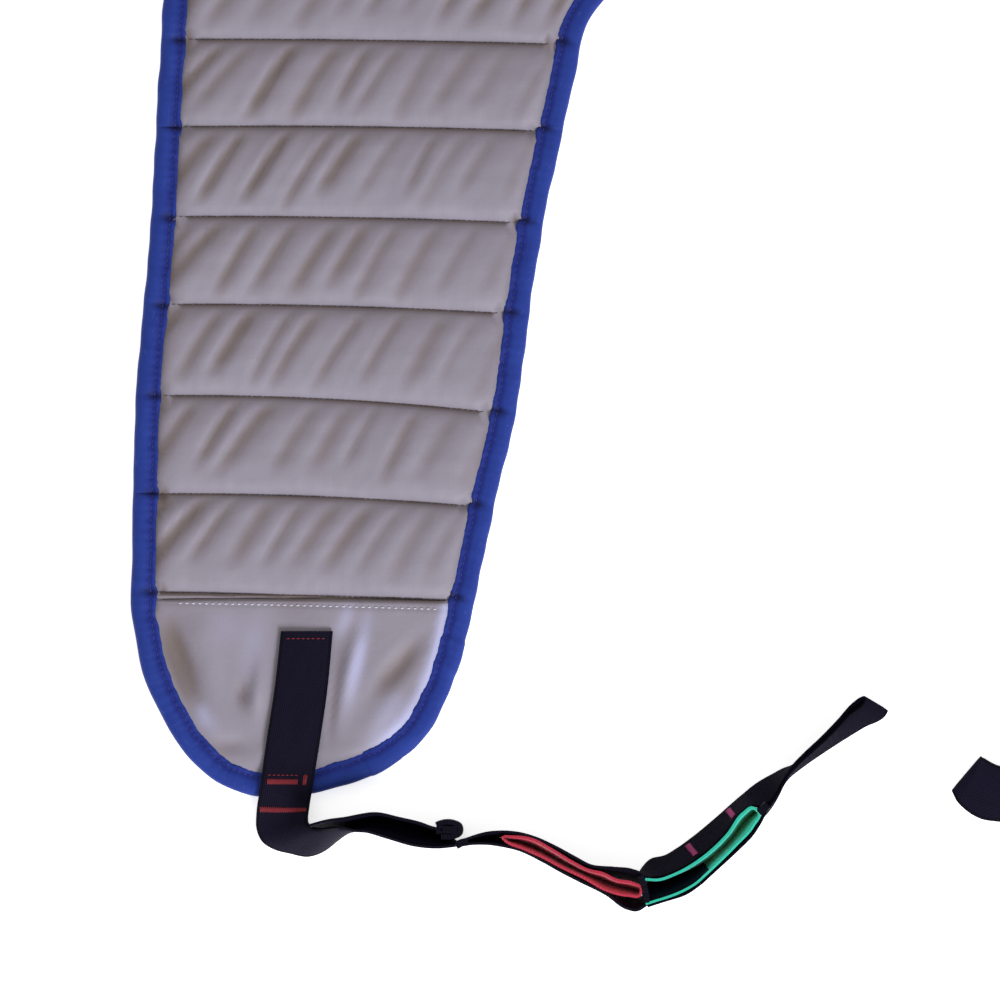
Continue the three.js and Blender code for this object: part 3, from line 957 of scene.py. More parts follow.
def pad_points():
    """The points of the pad's mesh, and the edges that it has to keep: its outline and its seams."""
    line, ends = pad_boundary()
    points = [line]
    edges = [(i, (i + 1) % len(line)) for i in range(len(line))]
    count = len(line)
    for index, pairs in enumerate(ends):
        for a, b in pairs:
            steps = max(2, round((line[b, 0] - line[a, 0]) / ROW_STEP))
            x = np.linspace(line[a, 0], line[b, 0], steps + 1)[1:-1]
            seam = np.stack([x, seam_y(index, x)], axis=1)
            points.append(seam)
            chain = [a, *range(count, count + len(seam)), b]
            edges += list(zip(chain, chain[1:]))
            count += len(seam)
            for row in SEAM_ROWS:
                for side in (-1, 1):
                    if side < 0 and index == SEAM_COUNT - 1:
                        continue
                    beside = seam[2:-2] + np.array([0, side * row])
                    beside = beside[edge_distance(beside) > TAPE - TUCK + 2]
                    points.append(beside)
                    count += len(beside)
            if index < SEAM_COUNT - 1:
                continue
            fine = np.linspace(line[a, 0], line[b, 0], 3 * steps)[4:-4]
            for row in FLAP_ROWS:
                beside = np.stack([fine, seam_y(index, fine) - row], axis=1)
                beside = beside[edge_distance(beside) > TAPE - TUCK + 1.5]
                points.append(beside)
                count += len(beside)
    for row in EDGE_ROWS:
        inner = smooth_path(OUTLINE[::2] + INWARD[::2] * (TAPE - TUCK + row), ROW_STEP, closed=True)
        above, down, up = channel_place(inner)
        clear = np.minimum(down, up) > SEAM_ROWS[-1] + 1
        points.append(inner[clear & ((above < SEAM_COUNT) | (down > FLAP_TOP))])
    leg_top = BACK_SEAMS[-1]
    low, high = OUTLINE.min(0), OUTLINE.max(0)
    for bottom, top, spacing in ((low[1], leg_top, LEG_GRID), (leg_top, high[1], BACK_GRID)):
        grid = hexagonal((low[0], bottom), (high[0], top), spacing)
        _, down, up = channel_place(grid)
        grid = grid[np.minimum(down, up) > SEAM_ROWS[-1] + spacing * 0.4]
        above, down, _ = channel_place(grid)
        grid = grid[(above < SEAM_COUNT) | (down > FLAP_TOP)]
        grid = grid[edge_distance(grid) > TAPE - TUCK + EDGE_ROWS[-1] + spacing * 0.4]
        points.append(grid)
    return np.vstack(points), edges


def build_pads():
    """The quilted pad in its zones, each a closed body."""
    points, edges = pad_points()
    made = delaunay_2d_cdt([Vector(p) for p in points], edges, [], 1, 1e-4)
    flat = np.array([tuple(v) for v in made[0]])
    triangles = np.array(made[2])
    top, below, painted_shading = pad_heights(flat, edge_distance(flat))
    zone = zone_of(flat[triangles].mean(1))
    pads = {}
    for number, name in enumerate(ZONES):
        mine = triangles[zone == number]
        used, packed = np.unique(mine, return_inverse=True)
        packed = packed.reshape(-1, 3)
        size = len(used)
        directed = {(int(a), int(b)) for t in packed for a, b in zip(t, np.roll(t, -1))}
        rim = sorted(e for e in directed if (e[1], e[0]) not in directed)
        upper = np.column_stack([flat[used], top[used]])
        lower = np.column_stack([flat[used], below[used]])
        faces = packed.tolist() + (packed[:, ::-1] + size).tolist()
        faces += [[b, a, a + size, b + size] for a, b in rim]
        vertices = np.vstack([upper, lower])
        corners = np.concatenate([np.array(f) for f in faces])
        pad = piece(f"{name}_quilt", vertices, faces, QUILT, vertices[corners, :2])
        # Painted shade on the underside, darker at the seams.
        under = 0.25 * (below[used] - LOWEST)
        set_painted_shading(pad, np.concatenate([painted_shading[used], under]))
        pads[name] = pad
    return pads


# ---- stitches ----

# A length of thread, one long and one in radius: a six-sided body with a point at each end.
GRAIN = np.array([(-0.5, 0, 0), *[(x, math.cos(a), math.sin(a)) for x in (-0.32, 0.32)
                                  for a in np.arange(6) * math.pi / 3], (0.5, 0, 0)])
GRAIN_FACES = ([[0, 1 + (j + 1) % 6, 1 + j] for j in range(6)]
               + [[1 + j, 1 + (j + 1) % 6, 7 + (j + 1) % 6, 7 + j] for j in range(6)]
               + [[13, 7 + j, 7 + (j + 1) % 6] for j in range(6)])


def grains(ends, radius):
    """Short lengths of thread, one between each pair of points."""
    vertices, faces = [], []
    for a, b in ends:
        run = b - a
        length = np.linalg.norm(run)
        x = run / length
        y = np.cross((0, 0, 1.0), x)
        if np.linalg.norm(y) < 1e-3:
            y = np.array((1.0, 0, 0))
        y /= np.linalg.norm(y)
        z = np.cross(x, y)
        scaled = GRAIN * (length, radius, radius)
        base = len(vertices) * len(GRAIN)
        vertices.append((a + b) / 2 + scaled @ np.array([x, y, z]))
        faces += [[base + i for i in f] for f in GRAIN_FACES]
    return np.vstack(vertices), faces


def stitched(line, pitch, share=0.68):
    """Pairs of points: the stitches of a row along a line."""
    length = run_lengths(line)
    starts = np.arange(pitch * 0.2, length[-1] - pitch * share, pitch)
    return list(zip(*(between(starts + shift, length, line) for shift in (0, pitch * share))))


def thread_piece(name, ends, radius, finish):
    """All stitches of one row, or of one zone, as one object."""
    vertices, faces = grains(ends, radius)
    return piece(name, vertices, faces, finish, sharp=60)


# ---- binding ----

# The folded tape's section: distance in from its outer edge, height, and how far each point
# goes with the puckers of the stitch row.
TAPE_SECTION = (
    (0, 3.6, 0), (0.4, 5.4, 0.1), (1.6, 7, 0.2), (3.8, 8, 0.3), (6.8, 8.3, 0.4), (9.8, 8, 0.6),
    (12.2, 7.4, 0.9), (13.6, 6.7, 1), (15, 7.3, 1), (16.6, 7.5, 0.8), (17.8, 6.8, 0.5), (18.4, 5.2, 0.3),
    (18.2, 2, 0), (16.8, 0.5, 0), (9, 0.2, 0), (2.2, 0.4, 0), (0.5, 1.6, 0),
)
outer_wander = line_waves(21, (14, 70), 0.32)
inner_wander = line_waves(22, (12, 50), 0.5)
height_wander = line_waves(23, (16, 50), 0.45)
pucker_wander = line_waves(24, (30, 80), 2.0)
TAPE_STEP = 1.9             # spacing of the sections along the tape
LAP_PLACES = (("left", 60), ("left", 158), ("right", -84))     # from the middle of a leg's end
TAPE_LAP = 26               # length where one end of the tape lies over the other
LAP_RISE = 0.55             # how much thicker it is there
TAPE_PUCKER = 0.34          # the small puckers along the stitches
PUCKER_RUN = 0.95           # and how far along the tape one radian of them goes
SEAM_PULL = 2.0             # how far the end of a seam pulls the tape down


def tape_surface(s, laps):
    """The tape's section at each place along the outline, as points (place, section point, xyz)."""
    index = s / OUTLINE_LENGTH * len(OUTLINE)
    wrapped = np.arange(len(OUTLINE) + 1)
    closed_line = np.vstack([OUTLINE, OUTLINE[:1]])
    closed_inward = np.vstack([INWARD, INWARD[:1]])
    index = index % len(OUTLINE)
    base = between(index, wrapped, closed_line)
    inward = between(index, wrapped, closed_inward)
    inward /= np.linalg.norm(inward, axis=1, keepdims=True)
    depth, height, give = np.array(TAPE_SECTION).T
    share = depth / TAPE
    lap = np.zeros(len(s))
    for place in laps:
        lap += np.clip((s - place) / 1.5, 0, 1) * np.clip((place + TAPE_LAP - s) / 1.5, 0, 1)
    pucker = TAPE_PUCKER * np.sin(s / PUCKER_RUN + pucker_wander(s)) + height_wander(s)
    upper = np.clip((height - 1) / 4, 0, 1)
    z = height + np.outer(pucker, give) + LAP_RISE * np.outer(lap, upper)
    z = z - SEAM_PULL * np.outer(seam_pull(s), give)
    outer_shift, inner_shift = outer_wander(s) - 0.5 * lap, inner_wander(s) + 0.6 * lap
    u = depth + np.outer(outer_shift, 1 - share) + np.outer(inner_shift, share)
    xy = base[:, None, :] + inward[:, None, :] * u[:, :, None]
    return np.concatenate([xy, z[:, :, None]], axis=2)


def seam_places():
    """Where every seam runs in under the binding, as places along the outline."""
    crossings = [p for i in range(SEAM_COUNT) for p, _ in seam_crossings(i, OUTLINE)]
    return np.array(crossings) / len(OUTLINE) * OUTLINE_LENGTH


SEAM_PLACES = seam_places()


def seam_pull(s):
    """How far the seams pull the tape down at each place along it, from 0 to 1."""
    half = OUTLINE_LENGTH / 2
    apart = np.abs((s[:, None] - SEAM_PLACES[None] + half) % OUTLINE_LENGTH - half)
    return np.exp(-(apart.min(1) / 2.6) ** 2)


def tape_cuts():
    """Where the binding is cut, in order round the sling from the head."""
    lines = (NECK_CUT, HIP_CUT, FIRST_LEG_SEAM + THIGH_CUT, FIRST_LEG_SEAM + SHIN_CUT)
    places = sorted(p for i in lines for p, _ in seam_crossings(i, OUTLINE))
    return [p / len(OUTLINE) * OUTLINE_LENGTH for p in places]


def build_bindings():
    """The binding in its lengths, by name, and the line of its stitches in each zone."""
    cuts = tape_cuts()
    leg = (("hip_outer", "hip"), ("knee_outer", "knee"), ("end", "end"), ("knee_inner", "knee"),
           ("hip_inner", "hip"))
    runs = [("left_side", "back"), *((f"left_{name}", f"left_{zone}") for name, zone in leg),
            ("arch", "back"), *((f"right_{name}", f"right_{zone}") for name, zone in leg[::-1]),
            ("right_side", "back"), ("head", "head")]
    middle = {"left": (cuts[3] + cuts[4]) / 2, "right": (cuts[9] + cuts[10]) / 2}
    laps = [middle[label] + place for label, place in LAP_PLACES]
    stitch = [point[0] for point in TAPE_SECTION].index(TAPE_STITCH)
    across = np.array(TAPE_SECTION)[:, 0]
    bindings, rows = {}, {zone: [] for zone in ZONES}
    for number, (name, zone) in enumerate(runs):
        start = cuts[number]
        end = cuts[number + 1] if number + 1 < len(cuts) else cuts[0] + OUTLINE_LENGTH
        s = np.linspace(start, end, round((end - start) / TAPE_STEP) + 1)
        rings = tape_surface(s, laps)
        faces, uvs = swept(rings, across, s)
        tape = piece(f"{name}_binding_tape", rings.reshape(-1, 3), faces, TAPE_BLUE, uvs, sharp=80)
        # Painted shade where a seam pulls the tape down, none near its outer edge and full from 11 mm in.
        set_painted_shading(tape, np.outer(seam_pull(s), np.clip((across - 5) / 6, 0, 1)) * 0.9)
        bindings[name] = (tape, zone)
        rows[zone].append(rings[:, stitch] + np.array([0, 0, 0.15]))
    return bindings, rows


# ---- webbing ----

# The thickness of webbing across its width, as a share of its ply.
EDGE_ROUND = np.array([0.78, 0.96, 1, 1, 1, 1, 1, 0.96, 0.78])


def ribbon_frames(stations, step, closed=False):
    """Both edges of a ribbon at even steps, and the direction that its face looks in."""
    path = smooth_path(stations, step, closed)
    low, high = path[:, :3], path[:, 3:]
    along = tangents((low + high) / 2, closed)
    across = high - low
    normal = np.cross(along, across)
    normal /= np.linalg.norm(normal, axis=1, keepdims=True)
    return low, high, normal


def ribbon(name, stations, finish, ply=WEB_PLY, closed=False, step=2.4):
    """A strip of webbing. Each station is a point on one edge and the facing point on the other."""
    low, high, normal = ribbon_frames(stations, step, closed)
    u = np.linspace(0, 1, len(EDGE_ROUND))
    middle = low[:, None] + (high - low)[:, None] * u[None, :, None]
    half = normal[:, None] * (ply / 2 * EDGE_ROUND)[None, :, None]
    rings = np.concatenate([middle + half, (middle - half)[:, ::-1]], axis=1)
    centre = (low + high) / 2
    across = np.concatenate([u, u[::-1]]) * WEBBING
    faces, uvs = swept(rings, across, run_lengths(centre), closed)
    return piece(name, rings.reshape(-1, 3), faces, finish, uvs, sharp=80)


def webbing(name, stations, finish=BLACK, nodes=(), **how):
    """A ribbon in the frame's slot for its colour, in place of some CAD nodes."""
    made = ribbon(name, stations, finish, **how)
    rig.slot(made, {RED: "red_webbing", GREEN: "green_webbing"}.get(finish, "black_webbing"))
    if nodes:
        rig.replaces(made, *nodes)
    return made


def on_edge(points):
    """Stations of plies that stand upright along a line."""
    return [(x, y, LIFT, x, y, WEBBING - LIFT) for x, y in points]


TACK_PLY = 5.4              # the plies sewn together between two loops
TACK_HALF = 4.6             # half their length
TACK_BEND = 5               # half the length over which they bend
FIRST_TACK_BACK = np.array((5.0, -2.4))     # the way back from a leg strap's first tack


class Chord:
    """A straight line between two strap hinges, from which a loop's sides bow out."""

    def __init__(self, start, end, side):
        self.start = np.array(start[:2], float)
        run = np.array(end[:2], float) - self.start
        self.length = np.linalg.norm(run)
        self.along = run / self.length
        self.out = np.array([-self.along[1], self.along[0]]) * -side

    def point(self, along, out):
        return self.start + self.along * along + self.out * out

    def span(self, start, end):
        """The two ends of a blend between two distances along, in metres."""
        return {"start": self.metres(start), "end": self.metres(end)}

    def metres(self, along):
        return Vector((*self.point(along, 0), 0)) * MM

    def stations(self, rows, scale=1.0):
        """Rows are (distance along, the floor edge's offset, the upper edge's offset), and how much
        farther along the upper edge is, if it is. The webbing keeps its width."""
        made = []
        for along, low, high, *slant in rows:
            ahead = slant[0] if slant else 0
            lean = (high - low) * scale
            height = math.sqrt(WEBBING**2 - lean**2) - 2 * LIFT
            top = self.point(along + ahead, high * scale)
            made.append((*self.point(along, low * scale), LIFT, *top, LIFT + height))
        return made


def hinge(name):
    """A hinge's place, in millimetres."""
    place, _ = joint_place(name)
    return np.array(place) / MM


def far_end(node, origin):
    """The middle of a node's face that is farthest from a point, seen from above."""
    points = node_points(node)
    distance = np.linalg.norm(points[:, :2] - origin[:2], axis=1)
    return points[distance > distance.max() - 0.5].mean(0)


def tack(name, body_a, body_b, before, place, after):
    """The sewn plies at a hinge between two loops."""
    back = (np.array(before[:2]) - place[:2])
    on = (np.array(after[:2]) - place[:2])
    back = back / np.linalg.norm(back)
    on = on / np.linalg.norm(on)
    ways = ((back, TACK_HALF), (back, 2), (on, 0), (on, 2), (on, TACK_HALF))
    points = [place[:2] + direction * distance for direction, distance in ways]
    block = webbing(name, on_edge(points), ply=TACK_PLY, step=1.0)
    start, end = (Vector((*(place[:2] + way * TACK_BEND), place[2])) * MM for way in (back, on))
    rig.blend(block, body_a, body_b, start=start, end=end)


# Sides of the loops on a leg strap: (distance along, floor edge, upper edge) out from the chord.
RED_OUTSIDE = (
    (0, 1.6, 2.0), (9, 3.8, 8.2), (15, 6, 11.6), (21, 10, 14), (27, 11.8, 15.8), (37, 14, 17.6),
    (50, 14, 17.6), (63, 11.4, 15.6), (82, 6.4, 11.2), (93, 4.2, 8.8), (110, 4, 11.4), (123, 4.4, 13.4),
    (130, 4.4, 12.4), (134.6, 3.2, 8),
)
RED_INSIDE = (
    (0, -1.4, -1.2), (9, 2.8, 2), (15, 5, 3.6), (21, 9.2, 4.8), (28, 9.4, 5.6), (41, 9, 6),
    (59, 6.2, 2.8), (74, 2.4, -1), (87, -1, -3.8), (110, -3, -8.5), (127, -3.4, -14.4),
    (134.5, -4, -13.6), (140, -4.6, -8),
)
RED_LINER = (
    (27, 10.4, 11.6), (34, 11.7, 14), (47, 11.2, 16), (63, 7.8, 12.7), (80, 3.7, 7.8), (93, 1.8, 5.2),
    (103, 0.8, 5.6), (114, 0, 3.6), (127, 0, 4.4), (132.8, 0, 2.6), (133.6, -0.2, -2.2),
    (125, -0.2, -5.2), (109, 0, -5.6), (91.5, 1.7, -1.4), (74, 4.9, 1.8), (57, 8.9, 5.6),
    (40, 11.2, 7.8), (31, 10.2, 9.2),
)
GREEN_OUTSIDE = (
    (4, 14.8, 12), (9, 16.4, 7.2), (17, 17, 2.2), (26, 12.8, -0.6), (36, 11.2, -2.4), (50, 10.4, -3.2),
    (72, 10.6, -1.5), (90, 11.4, 3.2), (97, 11.6, 2.2), (104, 11.8, -3.6),
)
GREEN_INSIDE = (
    (-6, -6.8, -6.8), (3, -10.2, -10.2), (12, -13, -14), (20, -15.4, -17), (30, -15, -18.2),
    (49, -11.6, -17.4), (68, -10.2, -16.2), (87, -8.4, -13.8), (96, -9.4, -10.6),
)
GREEN_LINER = (
    (5, 9.2, 9.2), (12, 3.2, 3), (24, -1.6, -1.4), (34, -5.6, -3.4), (50, -8.8, -4.6), (71, -7.2, -2.8),
    (90, -2.8, 2), (97.6, -2.4, 0.6), (98.6, -3.2, -5.2), (90, -3.4, -9.6), (71, -7.6, -12.8),
    (51, -9.1, -14.8), (40, -10.8, -15.6), (32, -14.6, -16), (21, -14.2, -14.4), (8, -10.2, -10.4),
    (-2, -6.4, -6.4), (-6, -4.8, -4.8),
)
# A fold of black webbing inside the green loop's start.
GREEN_FOLD = (
    (0.6, 8, -5.6, -4), (5, 6.2, -8, -1), (14, 0.8, -11.8), (22, -2.6, -13.4), (33, -5.2, -14.6),
    (45, -6.6, -14),
)
# Where the green loop's sides close, if the end loop doesn't carry on from them.
GREEN_CLOSE = ((99, 7, 5), (107, 1.4, 1.4)), ((101, -6, -7), (107, -1.4, -1.4))
# The plies sewn together between the red and the green loop, on the green one's chord.
JOIN_LINE = ((4, 13.4), (1.4, 7), (-1.9, 0), (-5, -4.6))
# The end loop's two sides, from the near hinge out and back, where they carry on from the green loop's.
END_OUT = (
    (3, 11.6, -4.2), (10, 10.8, -2), (17, 9.6, 1.2), (24, 8.4, 4), (34, 5.2, 7), (41, 4.8, 8),
    (60, 3.4, 9.8), (80, 1.2, 12.2, -3), (98, -1.2, 15, -5), (106.6, -2.4, 14.6, -6.4),
)
END_FOLD = ((109.4, -4.2, 13.6, -7),)
END_BACK = (
    (107.2, -5.4, 12.2, -6.6), (88, -3, 10.6, -4), (68, -0.8, 7.8), (51, 0.6, 6.4), (34, 1.4, 5),
    (24, 1.2, 3.2), (17.6, -0.2, 0.4), (10, -4, -3), (3, -7, -5.2), (-4, -9, -7),
)
# The folded webbing behind the green lining's far end: distance along, distance out.
END_FILLING = ((98.4, -5), (103, -4.8), (107, -4.5))


FILLING_PLY = 6.8
RIGHT_SCALE = 0.8           # the offsets of the right strap's loops, beside the left's
RED_BEND = 18, 1            # where the red loop bends with the green one, back from the hinge
GREEN_BEND = 9              # half the length over which the left green loop bends with the end loop


def leg_loops(label, side):
    """The loops of a leg strap, in the chain that the frame's hinges give. Returns the outer side of
    the green one."""
    name = f"{label}_strap"
    first, second, third = (hinge(f"{label}_{loop}_loop_swing") for loop in ("red", "green", "end"))
    on_lead, on_red, on_green, on_end = (f"{label}_{body}" for body in ("lead", "red", "green", "end"))
    tip = far_end(f"{name}_end_loop", third)
    red, green = Chord(first, second, side), Chord(second, third, side)
    scale = 1.0 if side < 0 else RIGHT_SCALE

    def strip(part, stations, finish=BLACK, nodes=(), **how):
        return webbing(f"{name}_{part}", stations, finish, [f"{name}_{node}" for node in nodes], **how)

    red_pieces = [
        strip("red_outer_ply", red.stations(RED_OUTSIDE, scale), nodes=["red_loop"]),
        strip("red_inner_ply", red.stations(RED_INSIDE, scale), nodes=["red_loop"]),
        strip("red_lining", red.stations(RED_LINER, scale), RED, ["red_liner"], ply=LINER_PLY, closed=True),
    ]
    for part in red_pieces:
        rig.blend(part, on_red, on_green, **red.span(*(red.length - back for back in RED_BEND)))
    join = on_edge(green.point(along, out * scale) for along, out in JOIN_LINE)
    green_pieces = [
        strip("green_lining", green.stations(GREEN_LINER, scale), GREEN, ["green_liner"], ply=LINER_PLY),
        strip("green_fold", green.stations(GREEN_FOLD, scale)),
        strip("second_tack", join, ply=TACK_PLY, step=1.0),
    ]
    for part in green_pieces:
        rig.ride(part, on_green)
    before, after = first[:2] + FIRST_TACK_BACK * (side, 1), red.point(5, 2.2)
    tack(f"{name}_first_tack", on_lead, on_red, before, first, after)
    if side < 0:
        end = Chord(third, tip, side)
        stations = [*green.stations(GREEN_OUTSIDE), *end.stations(END_OUT + END_FOLD + END_BACK),
                    *green.stations(GREEN_INSIDE[::-1])]
        filling = on_edge(green.point(along, out) for along, out in END_FILLING)
        end_pieces = [
            strip("green_and_end_webbing", stations, LOOP_BLACK_PAINTED_DARKER, ["green_loop", "end_loop"], step=1.8),
            strip("end_filling", filling, ply=FILLING_PLY, step=1.2),
        ]
        bend = green.span(green.length - GREEN_BEND, green.length + GREEN_BEND)
        for part in end_pieces:
            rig.blend(part, on_green, on_end, **bend)
        return stations
    for part, rows, close in (("green_outer_ply", GREEN_OUTSIDE, GREEN_CLOSE[0]),
                              ("green_inner_ply", GREEN_INSIDE, GREEN_CLOSE[1])):
        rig.ride(strip(part, green.stations(rows + close, scale), nodes=["green_loop"]), on_green)
    tack(f"{name}_third_tack", on_green, on_end, second, third, tip)
    end = strip("end_webbing", flat_end(side, third, tip), nodes=["end_loop"], step=1.6)
    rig.ride(end, on_end)
    return green.stations(GREEN_OUTSIDE, scale)


# The fallen end loop's edges near its tip, and its fold: (distance along, distance out) of each edge.
FLAT_TIP = (((62, -19.6), (62, 19.2)), ((80, -20.2), (80, 20.2)), ((91, -18.8), (86, 22.6)),
            ((101, -13.8), (90, 24.8)), ((108.6, -7), (91.6, 25.4)))
FLAT_FOLD = ((112.4, 0.4), (92.4, 26.0))
# How it turns down on to the floor: (distance along, upper ply's height over the lower, how far it
# still stands up, from 0 to 1).
FLAT_TURN = ((3, 1.4, 0.9), (10, 1.6, 0.8), (24, 2.2, 0.35), (40, 3, 0.1))
FLAT_HEIGHTS = (1.4, 4.6)   # of the two plies' middles, beyond the turn
FOLD_HEIGHT = 3.0


def flat_end(side, third, tip):
    """The right strap's end loop, fallen flat: two plies, one over the other, folded askew at the tip."""
    chord = Chord(third, tip, side)
    half = WEBBING / 2
    lower, upper = [], []
    for along, rise, turn in FLAT_TURN:
        lean = turn * math.pi / 2
        reach, height = half * math.cos(lean), half * math.sin(lean)
        a, b = chord.point(along, -reach), chord.point(along, reach)
        for plies, lift in ((lower, 0), (upper, rise)):
            z = LIFT + WEB_PLY / 2 + height + lift
            plies.append((*a, z - height + 0.01, *b, z + height))
    for (along_a, a), (along_b, b) in FLAT_TIP:
        for plies, z in zip((lower, upper), FLAT_HEIGHTS):
            plies.append((*chord.point(along_a, a), z, *chord.point(along_b, b), z))
    (along_a, a), (along_b, b) = FLAT_FOLD
    fold = (*chord.point(along_a, a), FOLD_HEIGHT, *chord.point(along_b, b), FOLD_HEIGHT)
    return [*lower, fold, *upper[::-1]]


# ---- stitching on webbing ----

def on_ribbon(stations, start, end, lift, across):
    """A line over the upper face of a ribbon: from and to a distance along it and a share of its width."""
    low, high, normal = ribbon_frames(stations, 1.0)
    normal = normal * np.where(normal[:, 2:] < 0, -1, 1)
    length = run_lengths((low + high) / 2)
    t = np.linspace(0, 1, 24)
    a, b, face = (between(start + (end - start) * t, length, rows) for rows in (low, high, normal))
    return a + (b - a) * (across[0] + (across[1] - across[0]) * t)[:, None] + face * lift


def bartack(stations, start, end, across, passes, slant=0.0):
    """A dense zigzag of thread over a ribbon."""
    edges = [on_ribbon(stations, place, place + slant, STITCH_LIFT, across) for place in (start, end)]
    known = np.arange(len(edges[0]))
    sides = [between(np.linspace(0, known[-1], passes), known, edge) for edge in edges]
    points = [sides[i % 2][i] for i in range(passes)]
    return list(zip(points, points[1:]))


STITCH_LIFT = 1.35          # thread's middle, from the middle of the ply that it is sewn on
LEAD_THREAD = 0.4           # radius of the red thread
BARTACK_THREAD = 0.42


# Rows across a leg strap where it is sewn to its flap: distance along, from and to which share of its
# width, distance from one stitch to the next.
ANCHOR_ROWS = ((5.4, (0.1, 0.9), 3.6), (104.6, (0.1, 0.74), 3.2))
# Zigzags there: from and to which distance along, which share of the width, how many passes.
ANCHOR_TACKS = ((107, 111.6, (0.12, 0.7), 34), (103.6, 112, (0.8, 0.86), 12))
# The one across it beyond the binding, and how much farther along its second end is.
TURN_TACK = (126, 130.4, (0.06, 0.95), 46, 3.6)


def anchor_thread(stations):
    """Where a leg strap is sewn to its flap: across its end, and over the binding."""
    thread = []
    for place, across, pitch in ANCHOR_ROWS:
        thread += stitched(on_ribbon(stations, place, place, STITCH_LIFT, across), pitch)
    for how in ANCHOR_TACKS:
        thread += bartack(stations, *how)
    return thread


# The flat end of a leg strap, sewn to the end flap, and the turn that it makes off the edge.
# Each station is the outer edge and the inner edge: x, y, height, from the strap's hinge.
ANCHOR_STATIONS = (
    ((-6, 121.5, 10.9), (31.4, 121.5, 10.9)), ((-10.8, 79, 11.2), (27.4, 79, 11.2)),
    ((-17, 39, 11.4), (21.6, 39, 11.4)), ((-21.2, 8, 10.8), (16.6, 8, 10.8)),
    ((-23.6, -9, 8), (14.4, -5.6, 10.6)), ((-23.4, -21, 5), (13.4, -12.6, 15)),
    ((-19.4, -30, 3), (14, -16.8, 22)),
)
LEFT_TURN = (
    ((-11.6, -35, 1.4), (17.6, -19.6, 27)), ((0.6, -38.2, 0.6), (24, -20.4, 31)),
    ((13.6, -40.4, 0.3), (30.6, -19.6, 34.5)), ((24.2, -36.9, 0.2), (36.6, -19.4, 35.6)),
    ((33.8, -29.6, 0.2), (42.6, -20.6, 36.6)), ((42.4, -22, 0.2), (48, -22, 37.6)),
    ((56.2, -13.7, 0.2), (56.2, -22.7, 37)), ((72.2, -12.4, 0.2), (72.2, -27.5, 35)),
    ((90.2, -16.4, 0.2), (90.2, -32.5, 34.6)), ((107.2, -22.7, 0.2), (107.2, -33.9, 36.4)),
    ((123, -31.6, 0.2), (123, -32.2, 38)),
)
RIGHT_TURN = (
    ((-10, -35, 1.4), (17, -19.4, 26)), ((4, -39, 0.6), (24, -23, 33)),
    ((20, -41, 0.3), (32, -30, 36.2)), ((38, -46, 0.2), (43, -38, 37.6)),
    ((58, -57, 0.2), (60, -50, 38)), ((80, -69.4, 0.2), (81, -64.4, 38)),
    ((102, -72.4, 0.2), (102, -70.8, 38)),
)
# The second side of the first loop, from the next hinge: (distance on, y of its floor edge, y of its
# upper edge).
LEFT_PLY = ((-109, 9.6, 13), (-97, 9.2, 16.2), (-83, 9, 18.2), (-74, 14.6, 20), (-63.4, 19.2, 21.4),
            (-44.1, 16.4, 17.6), (-29.6, 12.6, 14.2), (-21, 10.2, 11), (-14, 9.2, 9.4))
RIGHT_PLY = ((-66, 31, 39), (-52, 28.5, 33.5), (-38, 21.5, 25), (-26, 14, 16.5), (-19, 10.4, 12))
# The folded tab at that loop's end, round a filling of webbing.
FIRST_TAB = ((-18.4, 12.9), (-15, 14.3), (-6, 14.5), (-1.6, 12.2), (-1.4, 7.6), (-6, 4.9), (-15, 4.6))
TAB_FILLING = ((-18.4, 9.8), (-3.2, 9.4))
TAB_PLY, TAB_FILLING_PLY = 4.4, 7.0
LEAD_BEND = 6, -15          # where a leg strap bends off its flap, in y from the hinge


def lead(label, side):
    """The sewn end, its turn on to edge and the first plain loop."""
    origin, following = hinge(f"{label}_strap_lift"), hinge(f"{label}_red_loop_swing")
    turn = LEFT_TURN if side < 0 else RIGHT_TURN
    stations = []
    for outer, inner in ANCHOR_STATIONS + turn:
        ends = [(origin[0] - side * p[0], origin[1] + p[1], p[2]) for p in (outer, inner)]
        stations.append((*ends[0], *ends[1]))
    nodes = [f"{label}_strap_anchor", f"{label}_strap_lead"]
    strap = webbing(f"{label}_strap_lead_webbing", stations, nodes=nodes)
    start, end = (Vector((origin[0], origin[1] + shift, origin[2])) * MM for shift in LEAD_BEND)
    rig.blend(strap, f"{label}_flap", f"{label}_lead", start=start, end=end)

    def upright(rows):
        x, y = following[:2]
        return [(x - side * on, y + low, LIFT, x - side * on, y + high, WEBBING - 0.6)
                for on, low, high in rows]

    parts = [webbing(f"{label}_strap_first_ply", upright(LEFT_PLY if side < 0 else RIGHT_PLY))]
    for part_name, line, ply in (("tab", FIRST_TAB, TAB_PLY), ("tab_filling", TAB_FILLING, TAB_FILLING_PLY)):
        rows = [(on, y - 0.3, y) for on, y in line]
        parts.append(webbing(f"{label}_strap_first_{part_name}", upright(rows), ply=ply, step=1.2))
    for part in parts:
        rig.ride(part, f"{label}_lead")
    for part_name, thread in (("anchor", anchor_thread(stations)), ("turn", bartack(stations, *TURN_TACK))):
        sewn = thread_piece(f"{label}_{part_name}_stitches", thread, LEAD_THREAD, RED_THREAD)
        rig.blend(sewn, f"{label}_flap", f"{label}_lead", start=start, end=end)


# ---- shoulder straps ----

# One side of the lined loop, half of its lining and one side of the end loop, as rows of a chord.
# The sides get one more row at the far end, whose place depends on the chord.
SHOULDER_OUTSIDE = ((0, 1.2, 1.6), (12, 4.5, 6), (40, 6.5, 8.5), (72, 6.5, 8), (98, 4, 5))
SHOULDER_LINER = ((10, 1.2, 1.6), (22, 3.6, 4.6), (45, 4.6, 6), (75, 4.4, 5.6), (95, 2.4, 3), (101, 0, 0))
SHOULDER_END = ((0, 1, 1.4), (16, 4, 5.5), (50, 5.5, 8), (85, 4, 6.5))
